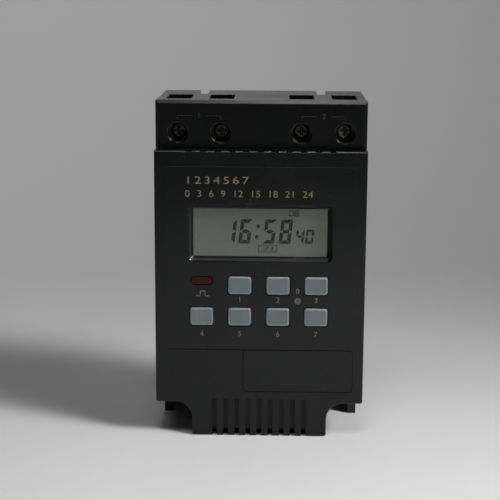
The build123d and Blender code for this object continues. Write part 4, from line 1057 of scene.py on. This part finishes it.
@dataclass
class Display:
    """Dark digits of the liquid crystal panel.

    Its rows, colon and box are laid out in millimetres.

    Attributes:
        slant: How far the digits lean, in radians.
        thickness: How far the segments stand proud, in metres.
        lift: Gap between the glass and the segments, in metres.
        rows: Rows of digits.
        colon: Middles of the two dots between hours and minutes, as (x, z).
        colon_dot: Side of such a dot.
        box_corners: Lower left and upper right corner of the small box, as (x, z).
        box_line: Width of the box's line.
        SEGMENTS: Segments that each digit drives, a to g from the top round to the middle.
    """

    slant: float = math.radians(7.0)
    thickness: float = 0.02 * MM
    lift: float = 0.005 * MM
    rows: tuple[DigitRow, ...] = (
        DigitRow((("1", -13.25), ("6", -7.8), ("5", 0.7), ("8", 6.35)),
                 low=70.15, width=4.15, height=8.65, stroke=1.28, gap=0.1),
        DigitRow((("4", 12.2), ("0", 15.6)),
                 low=70.25, width=2.85, height=5.1, stroke=0.86, gap=0.07),
        DigitRow((("0", 9.85), ("6", 11.85)),
                 low=80.0, width=1.7, height=2.1, stroke=0.36, gap=0.03),
        DigitRow((("1", 0.35), ("2", 1.8), ("3", 3.4)),
                 low=67.7, width=1.05, height=1.4, stroke=0.3, gap=0.01),
    )
    colon: tuple[Point, ...] = ((-0.75, 76.4), (-1.3, 72.6))
    colon_dot: float = 1.15
    box_corners: tuple[Point, Point] = ((-0.55, 67.15), (5.85, 69.6))
    box_line: float = 0.22

    SEGMENTS: ClassVar[dict[str, str]] = {
        "0": "abcdef", "1": "bc", "2": "abged", "3": "abgcd", "4": "fgbc", "5": "afgcd", "6": "afgedc",
        "8": "abcdefg",
    }

    def segment(self, art: FlatArt, name: str, left: float, row: DigitRow) -> None:
        """Add one segment of a digit.

        Args:
            art: Mark that takes it.
            name: Letter of the segment.
            left: X of the digit's lower left corner in millimetres.
            row: Row that the digit stands in.
        """
        wide, high, stroke, gap = row.width, row.height, row.stroke, row.gap
        half, middle = stroke / 2, high / 2
        inner = wide - stroke - gap
        bar = [(gap, high), (wide - gap, high), (inner, high - stroke), (stroke + gap, high - stroke)]
        side = [(wide, high - gap), (wide, middle + gap), (wide - stroke, middle + half + gap),
                (wide - stroke, high - stroke - gap)]
        bridge = [(half + gap, middle), (stroke + gap, middle + half), (inner, middle + half),
                  (wide - half - gap, middle), (inner, middle - half), (stroke + gap, middle - half)]
        shape = {"a": bar, "d": bar, "g": bridge}.get(name, side)
        if name in "ef":
            shape = [(wide - x, z) for x, z in shape]
        if name in "cde":
            shape = [(x, high - z) for x, z in shape]
        lean = math.tan(self.slant)
        art.outline([((left + x + z * lean) * MM, (row.low + z) * MM) for x, z in shape])

    def dots(self, art: FlatArt) -> None:
        """Add the two dots of the colon.

        Args:
            art: Mark that takes them.
        """
        half = self.colon_dot / 2 * MM
        for x, z in self.colon:
            left, right, low, high = x * MM - half, x * MM + half, z * MM - half, z * MM + half
            art.outline([(left, low), (right, low), (right, high), (left, high)])

    def mode_box(self, art: FlatArt) -> None:
        """Add the small box round the lowest row.

        Args:
            art: Mark that takes it.
        """
        (left, low), (right, high) = self.box_corners
        corners = [(x * MM, z * MM) for x, z in ((left, low), (right, low), (right, high), (left, high))]
        for start, end in zip(corners, [*corners[1:], corners[0]]):
            art.stroke(start, end, self.box_line * MM)

    def build(self, ink: bpy.types.Material) -> bpy.types.Object:
        """Make the digits on the front of the panel.

        Args:
            ink: Dark finish of the driven segments.

        Returns:
            The piece.
        """
        art = FlatArt(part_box("lcd_panel")[0].y - self.lift, self.thickness)
        for row in self.rows:
            for digit, left in row.digits:
                for name in self.SEGMENTS[digit]:
                    self.segment(art, name, left, row)
        self.dots(art)
        self.mode_box(art)
        piece = art.build("display_digits")
        dress(piece, ink)
        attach(piece, "case")
        LOG.info("built %s", piece.name)
        return piece


@dataclass(frozen=True)
class TitleRow:
    """Row of numbers above the display.

    Attributes:
        text: Its digits.
        z: Z of its middle.
        height: Height of its digits.
        spread: How wide the digits are set.
        widen: How much wider each digit is than usual.
    """

    text: str
    z: float
    height: float
    spread: float
    widen: float


@dataclass
class PanelPrint:
    """Plain printed numbers and marks on the panel.

    Attributes:
        thickness: How far the print stands proud.
        digit_height: Height of the numbers at the keys.
        upper_drop: From the middle of a key in the upper row down to its number.
        lower_drop: From the middle of a key in the lower row down to its number.
        upper_keys: Number of keys in the upper row.
        keys: Number of rectangular keys.
        reset_rise: From the middle of the reset key up to its number.
        line: Width of the pulse's line.
        pulse_shift: How far the pulse stands to the right of the status light.
        pulse_drop: From the lower edge of the status light down to the foot of the pulse.
        pulse_half: Half the width of the pulse.
        pulse_height: Height of the pulse.
        pulse_foot: How far its feet reach, in half widths.
        title_left: X of the left end of the rows above the display.
        title_rows: Rows above the display.
    """

    thickness: float = 0.012 * MM
    digit_height: float = 1.85 * MM
    upper_drop: float = 5.25 * MM
    lower_drop: float = 6.35 * MM
    upper_keys: int = 3
    keys: int = 7
    reset_rise: float = 3.6 * MM
    line: float = 0.26 * MM
    pulse_shift: float = 0.35 * MM
    pulse_drop: float = 3.35 * MM
    pulse_half: float = 0.85 * MM
    pulse_height: float = 1.75 * MM
    pulse_foot: float = 2.6
    title_left: float = -26.3 * MM
    title_rows: tuple[TitleRow, ...] = (
        TitleRow("1234567", z=92.85 * MM, height=2.6 * MM, spread=1.35, widen=1.3),
        TitleRow("0  3  6  9  12  15  18  21  24", z=88.15 * MM, height=2.3 * MM, spread=1.05, widen=1.1),
    )

    def key_numbers(self, art: FlatArt) -> None:
        """Add a number at each key, and 0 at the reset key.

        Args:
            art: Mark that takes them.
        """
        for number in range(1, self.keys + 1):
            x, z = front_middle(f"key_{number}")
            drop = self.upper_drop if number <= self.upper_keys else self.lower_drop
            art.number(str(number), (x, z - drop), self.digit_height)
        x, z = front_middle("reset_key")
        art.number("0", (x, z + self.reset_rise), self.digit_height)

    def titles(self, art: FlatArt) -> None:
        """Add the rows of numbers above the display to the mark."""
        for row in self.title_rows:
            art.number(row.text, (self.title_left, row.z), row.height, row.spread, row.widen, Align.LEFT)

    def pulse(self, art: FlatArt) -> None:
        """Add the square pulse below the status light.

        Args:
            art: Mark that takes it.
        """
        x = front_middle("status_lens")[0] + self.pulse_shift
        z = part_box("status_lens")[0].z - self.pulse_drop
        wide, tall, foot = self.pulse_half, self.pulse_height, self.pulse_foot * self.pulse_half
        corners = [(-foot, 0), (-wide, 0), (-wide, tall), (wide, tall), (wide, 0), (foot, 0)]
        for start, end in zip(corners, corners[1:]):
            art.stroke((x + start[0], z + start[1]), (x + end[0], z + end[1]), self.line)

    def build(self, ink: bpy.types.Material) -> bpy.types.Object:
        """Make the print on the raised panel.

        Args:
            ink: Finish of the print.

        Returns:
            The piece.
        """
        art = FlatArt(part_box("front_cover")[0].y, self.thickness)
        self.key_numbers(art)
        self.titles(art)
        self.pulse(art)
        piece = art.build("panel_print")
        dress(piece, ink)
        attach(piece, "case")
        LOG.info("built %s", piece.name)
        return piece


@dataclass
class TerminalPrint:
    """Brackets and plain numbers above the terminals.

    Attributes:
        thickness: How far the print stands proud.
        digit_height: Height of the numbers.
        rise: From the middle of a screw up to its bracket.
        tick: Length of the bracket's end, down towards the screw.
        line: Width of the bracket's line.
        middle_gap: From the middle of the number to the bracket's line.
        PAIRS: Pairs of terminals.
    """

    thickness: float = 0.012 * MM
    digit_height: float = 1.9 * MM
    rise: float = 6.0 * MM
    tick: float = 1.2 * MM
    line: float = 0.16 * MM
    middle_gap: float = 2.5 * MM

    PAIRS: ClassVar[tuple[tuple[int, int], ...]] = ((1, 2), (3, 4))

    def bracket(self, art: FlatArt, pair: tuple[int, int], label: str) -> None:
        """Add the bracket over a pair of terminals, with its number.

        Args:
            art: Mark that takes them.
            pair: Numbers of the two terminals.
            label: Number of the pair.
        """
        (left, z), (right, _) = (front_middle(f"terminal_screw_{number}") for number in pair)
        middle, top = (left + right) / 2, z + self.rise
        art.number(label, (middle, top), self.digit_height)
        for x in (left, right):
            inner = middle + math.copysign(self.middle_gap, x - middle)
            art.stroke((x, top), (inner, top), self.line)
            art.stroke((x, top), (x, top - self.tick), self.line)

    def build(self, ink: bpy.types.Material) -> bpy.types.Object:
        """Make the print on the terminal cover.

        Args:
            ink: Finish of the print.

        Returns:
            The piece.
        """
        art = FlatArt(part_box("terminal_cover")[0].y, self.thickness)
        for place, pair in enumerate(self.PAIRS, 1):
            self.bracket(art, pair, str(place))
        piece = art.build("terminal_print")
        dress(piece, ink)
        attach(piece, "case")
        LOG.info("built %s", piece.name)
        return piece


@dataclass
class Floor:
    """Pale floor that sweeps up far behind the timer.

    Attributes:
        reach: How far it spreads to the sides and to the front.
        sweep_start: Y where it starts to rise.
        sweep_radius: Radius of its rise.
        sweep_height: Height of the wall that it becomes.
        sweep_steps: Steps in its rise.
        colour: Colour of its lighter patches.
        patch: Size of the patches.
        grain: Size of its dull and glossy spots.
    """

    reach: float = 12.0
    sweep_start: float = 0.26
    sweep_radius: float = 0.36
    sweep_height: float = 1.3
    sweep_steps: int = 24
    colour: Colour = (0.62, 0.62, 0.62)
    patch: float = 0.4
    grain: float = 0.02

    def finish(self) -> bpy.types.Material:
        """Make its matt finish, with wide faint patches.

        Returns:
            The finished material.
        """
        recipe = Recipe("pale_floor")
        patches = recipe.noise(self.patch, detail=2.0)
        recipe.surface(Base_Color=recipe.blend(patches, scaled(self.colour, 0.96), self.colour),
                       Roughness=recipe.vary(recipe.noise(self.grain), 0.5, 0.62))
        return recipe.done()

    def build(self) -> bpy.types.Object:
        """Make the floor.

        Returns:
            The floor.
        """
        profile = [(-self.reach, 0.0)]
        for step in range(self.sweep_steps + 1):
            turn = math.pi / 2 * step / self.sweep_steps
            profile.append((self.sweep_start + self.sweep_radius * math.sin(turn),
                            self.sweep_radius * (1 - math.cos(turn))))
        profile.append((self.sweep_start + self.sweep_radius, self.sweep_height))
        mesh = bmesh.new()
        rows = [[mesh.verts.new((side * self.reach, y, z)) for side in (-1, 1)] for y, z in profile]
        for low, high in zip(rows, rows[1:]):
            mesh.faces.new((low[0], low[1], high[1], high[0])).smooth = True
        data = bpy.data.meshes.new("floor")
        mesh.to_mesh(data)
        mesh.free()
        floor = bpy.data.objects.new("floor", data)
        bpy.context.scene.collection.objects.link(floor)
        dress(floor, self.finish())
        return floor


@dataclass(frozen=True)
class Lamp:
    """Studio lamp.

    Attributes:
        kind: Kind of lamp.
        name: Name of the lamp.
        place: Where it hangs.
        target: Point that it faces.
        power: Power in watts, or strength for a sky lamp.
        size: Radius of a spot lamp or side of an area lamp in metres, or width of a sky lamp in degrees.
        cone: Opening angle of a spot lamp in degrees.
    """

    kind: LampKind
    name: str
    place: Place
    target: Place
    power: float
    size: float
    cone: float = 0.0

    def hang(self, only: Sequence[bpy.types.Object] | None = None) -> bpy.types.Object:
        """Hang the lamp.

        Args:
            only: Pieces that it lights, or None if it lights everything.

        Returns:
            The lamp.
        """
        light = bpy.data.lights.new(self.name, self.kind.value)
        light.energy = self.power
        if self.kind is LampKind.SKY:
            light.angle = math.radians(self.size)
        elif self.kind is LampKind.SPOT:
            light.shadow_soft_size = self.size
            light.spot_size = math.radians(self.cone)
            light.spot_blend = 1.0
        else:
            light.size = self.size
        lamp = bpy.data.objects.new(self.name, light)
        lamp.location = Vector(self.place)
        lamp.rotation_euler = (Vector(self.target) - lamp.location).to_track_quat("-Z", "Y").to_euler()
        bpy.context.scene.collection.objects.link(lamp)
        if only is not None:
            lit = bpy.data.collections.new(f"lit_by_{self.name}")
            for piece in only:
                lit.objects.link(piece)
            lamp.light_linking.receiver_collection = lit
        return lamp


def towards(turn: float, rise: float, distance: float) -> Place:
    """Place round the timer.

    Args:
        turn: Angle from the front towards the right, in degrees.
        rise: Angle above the floor, in degrees.
        distance: Distance from LAMP_CENTRE in metres.

    Returns:
        The place.
    """
    across, up = math.radians(turn), math.radians(rise)
    x, y, z = LAMP_CENTRE
    reach = distance * math.cos(up)
    return (x + reach * math.sin(across), y - reach * math.cos(across), z + distance * math.sin(up))


@dataclass
class Lights:
    """Lamps and even light of the studio.

    Attributes:
        room_lamps: Lamps that light the whole room.
        edge_lamp: Lamp above the timer, for the light lines along its upper edges.
        corner_lamp: Lamp for the glint in the lower left corner of the window recess.
        screw_lamp: Lamp for the glints in the screws' heads.
        even_light: Strength of the even light.
    """

    room_lamps: tuple[Lamp, ...] = (
        Lamp(LampKind.SKY, "sky_lamp", towards(60, 36, 2.0), LAMP_CENTRE,
             power=0.925, size=20),
        Lamp(LampKind.SPOT, "near_lamp", towards(65, 38, 0.9), (0.2, -0.25, 0.0),
             power=17.8, size=0.16, cone=48),
        Lamp(LampKind.SPOT, "side_lamp", towards(60, 36, 1.2), (0.0, -0.2, 0.0),
             power=36.2, size=0.16, cone=34),
        Lamp(LampKind.SPOT, "pool_lamp", towards(65, 38, 0.9), (0.0, -0.12, 0.0),
             power=11.5, size=0.16, cone=52),
        Lamp(LampKind.SPOT, "front_lamp", (0.0, -0.45, 1.0), (0.15, -0.15, 0.0),
             power=12.6, size=0.2, cone=44),
        Lamp(LampKind.SPOT, "wall_lamp", (-0.35, -0.2, 0.9), (-0.15, 0.5, 0.15),
             power=13.8, size=0.2, cone=60),
    )
    edge_lamp: Lamp = Lamp(LampKind.AREA, "edge_lamp", (0.03, 0.045, 0.95), (0.0, -0.02, 0.11),
                           power=2.0, size=0.12)
    corner_lamp: Lamp = Lamp(LampKind.AREA, "corner_lamp", (0.673, -0.109, 0.63),
                             (-0.0235, -0.0236, 0.0655), power=6.0, size=0.08)
    screw_lamp: Lamp = Lamp(LampKind.AREA, "screw_lamp", (0.3, -0.6, 0.42), (0.0, 0.0, 0.108),
                            power=18.0, size=0.3)
    even_light: float = 0.01

    def build(self) -> None:
        """Hang the lamps and set the room's even light."""
        for lamp in self.room_lamps:
            lamp.hang()
        meshes = [piece for piece in bpy.context.scene.objects if piece.type == "MESH"]
        timer = [piece for piece in meshes if piece.name != "floor"]
        self.edge_lamp.hang(timer)
        self.corner_lamp.hang([frame["nodes"]["front_cover"]])
        self.screw_lamp.hang([frame["nodes"][node] for node in SCREWS])
        world = bpy.data.worlds.new("room")
        world.use_nodes = True
        background = world.node_tree.nodes["Background"]
        background.inputs["Color"].default_value = (1.0, 1.0, 1.0, 1.0)
        background.inputs["Strength"].default_value = self.even_light
        bpy.context.scene.world = world
        bpy.context.scene.view_settings.view_transform = "Standard"


@dataclass
class Camera:
    """Camera where the photograph was taken from.

    Attributes:
        place: Where it stands.
        pitch: How far it looks down, in radians.
        yaw: How far it looks to the right, in radians.
        roll: How far it leans, in radians.
        focal_pixels: Its focal length in pixels of the photograph.
        frame_pixels: Width of the photograph in pixels.
        sensor: Width of its sensor in millimetres.
        nearest: Distance where it starts to see.
        farthest: Distance where it stops seeing.
    """

    place: Place = (0.00692, -0.47028, 0.16197)
    pitch: float = math.radians(11.828)
    yaw: float = math.radians(-1.339)
    roll: float = math.radians(0.313)
    focal_pixels: float = 1304.1
    frame_pixels: float = 500.0
    sensor: float = 36.0
    nearest: float = 0.02
    farthest: float = 60.0

    def build(self) -> bpy.types.Object:
        """Place the camera.

        Returns:
            The camera.
        """
        ahead = Vector((math.sin(self.yaw) * math.cos(self.pitch),
                        math.cos(self.yaw) * math.cos(self.pitch), -math.sin(self.pitch)))
        right = Vector((math.cos(self.yaw), -math.sin(self.yaw), 0.0))
        up = right.cross(ahead)
        rolled_right = math.cos(self.roll) * right + math.sin(self.roll) * up
        rolled_up = math.cos(self.roll) * up - math.sin(self.roll) * right
        data = bpy.data.cameras.new("camera")
        data.sensor_width = self.sensor
        data.lens = self.focal_pixels / self.frame_pixels * self.sensor
        data.clip_start = self.nearest
        data.clip_end = self.farthest
        camera = bpy.data.objects.new("camera", data)
        turn = Matrix((rolled_right, rolled_up, -ahead)).transposed()
        camera.matrix_world = Matrix.Translation(self.place) @ turn.to_4x4()
        bpy.context.scene.collection.objects.link(camera)
        bpy.context.scene.camera = camera
        return camera


@dataclass
class Studio:
    """Everything round the timer.

    Attributes:
        floor: Floor and backdrop.
        lights: Lamps and even light.
        camera: Camera.
    """

    floor: Floor = field(default_factory=Floor)
    lights: Lights = field(default_factory=Lights)
    camera: Camera = field(default_factory=Camera)

    def build(self) -> None:
        """Set up the whole studio."""
        self.floor.build()
        self.lights.build()
        self.camera.build()
        LOG.info("built the studio")


def main() -> None:
    """Dress the solids, build the own pieces and set up the studio."""
    Solids().dress()
    Display().build(SEGMENT_INK.make())
    PanelPrint().build(PANEL_INK.make())
    TerminalPrint().build(TERMINAL_INK.make())
    Studio().build()


if __name__ == "__main__":
    logging.basicConfig(level=logging.INFO, format="%(name)s: %(message)s")
    main()
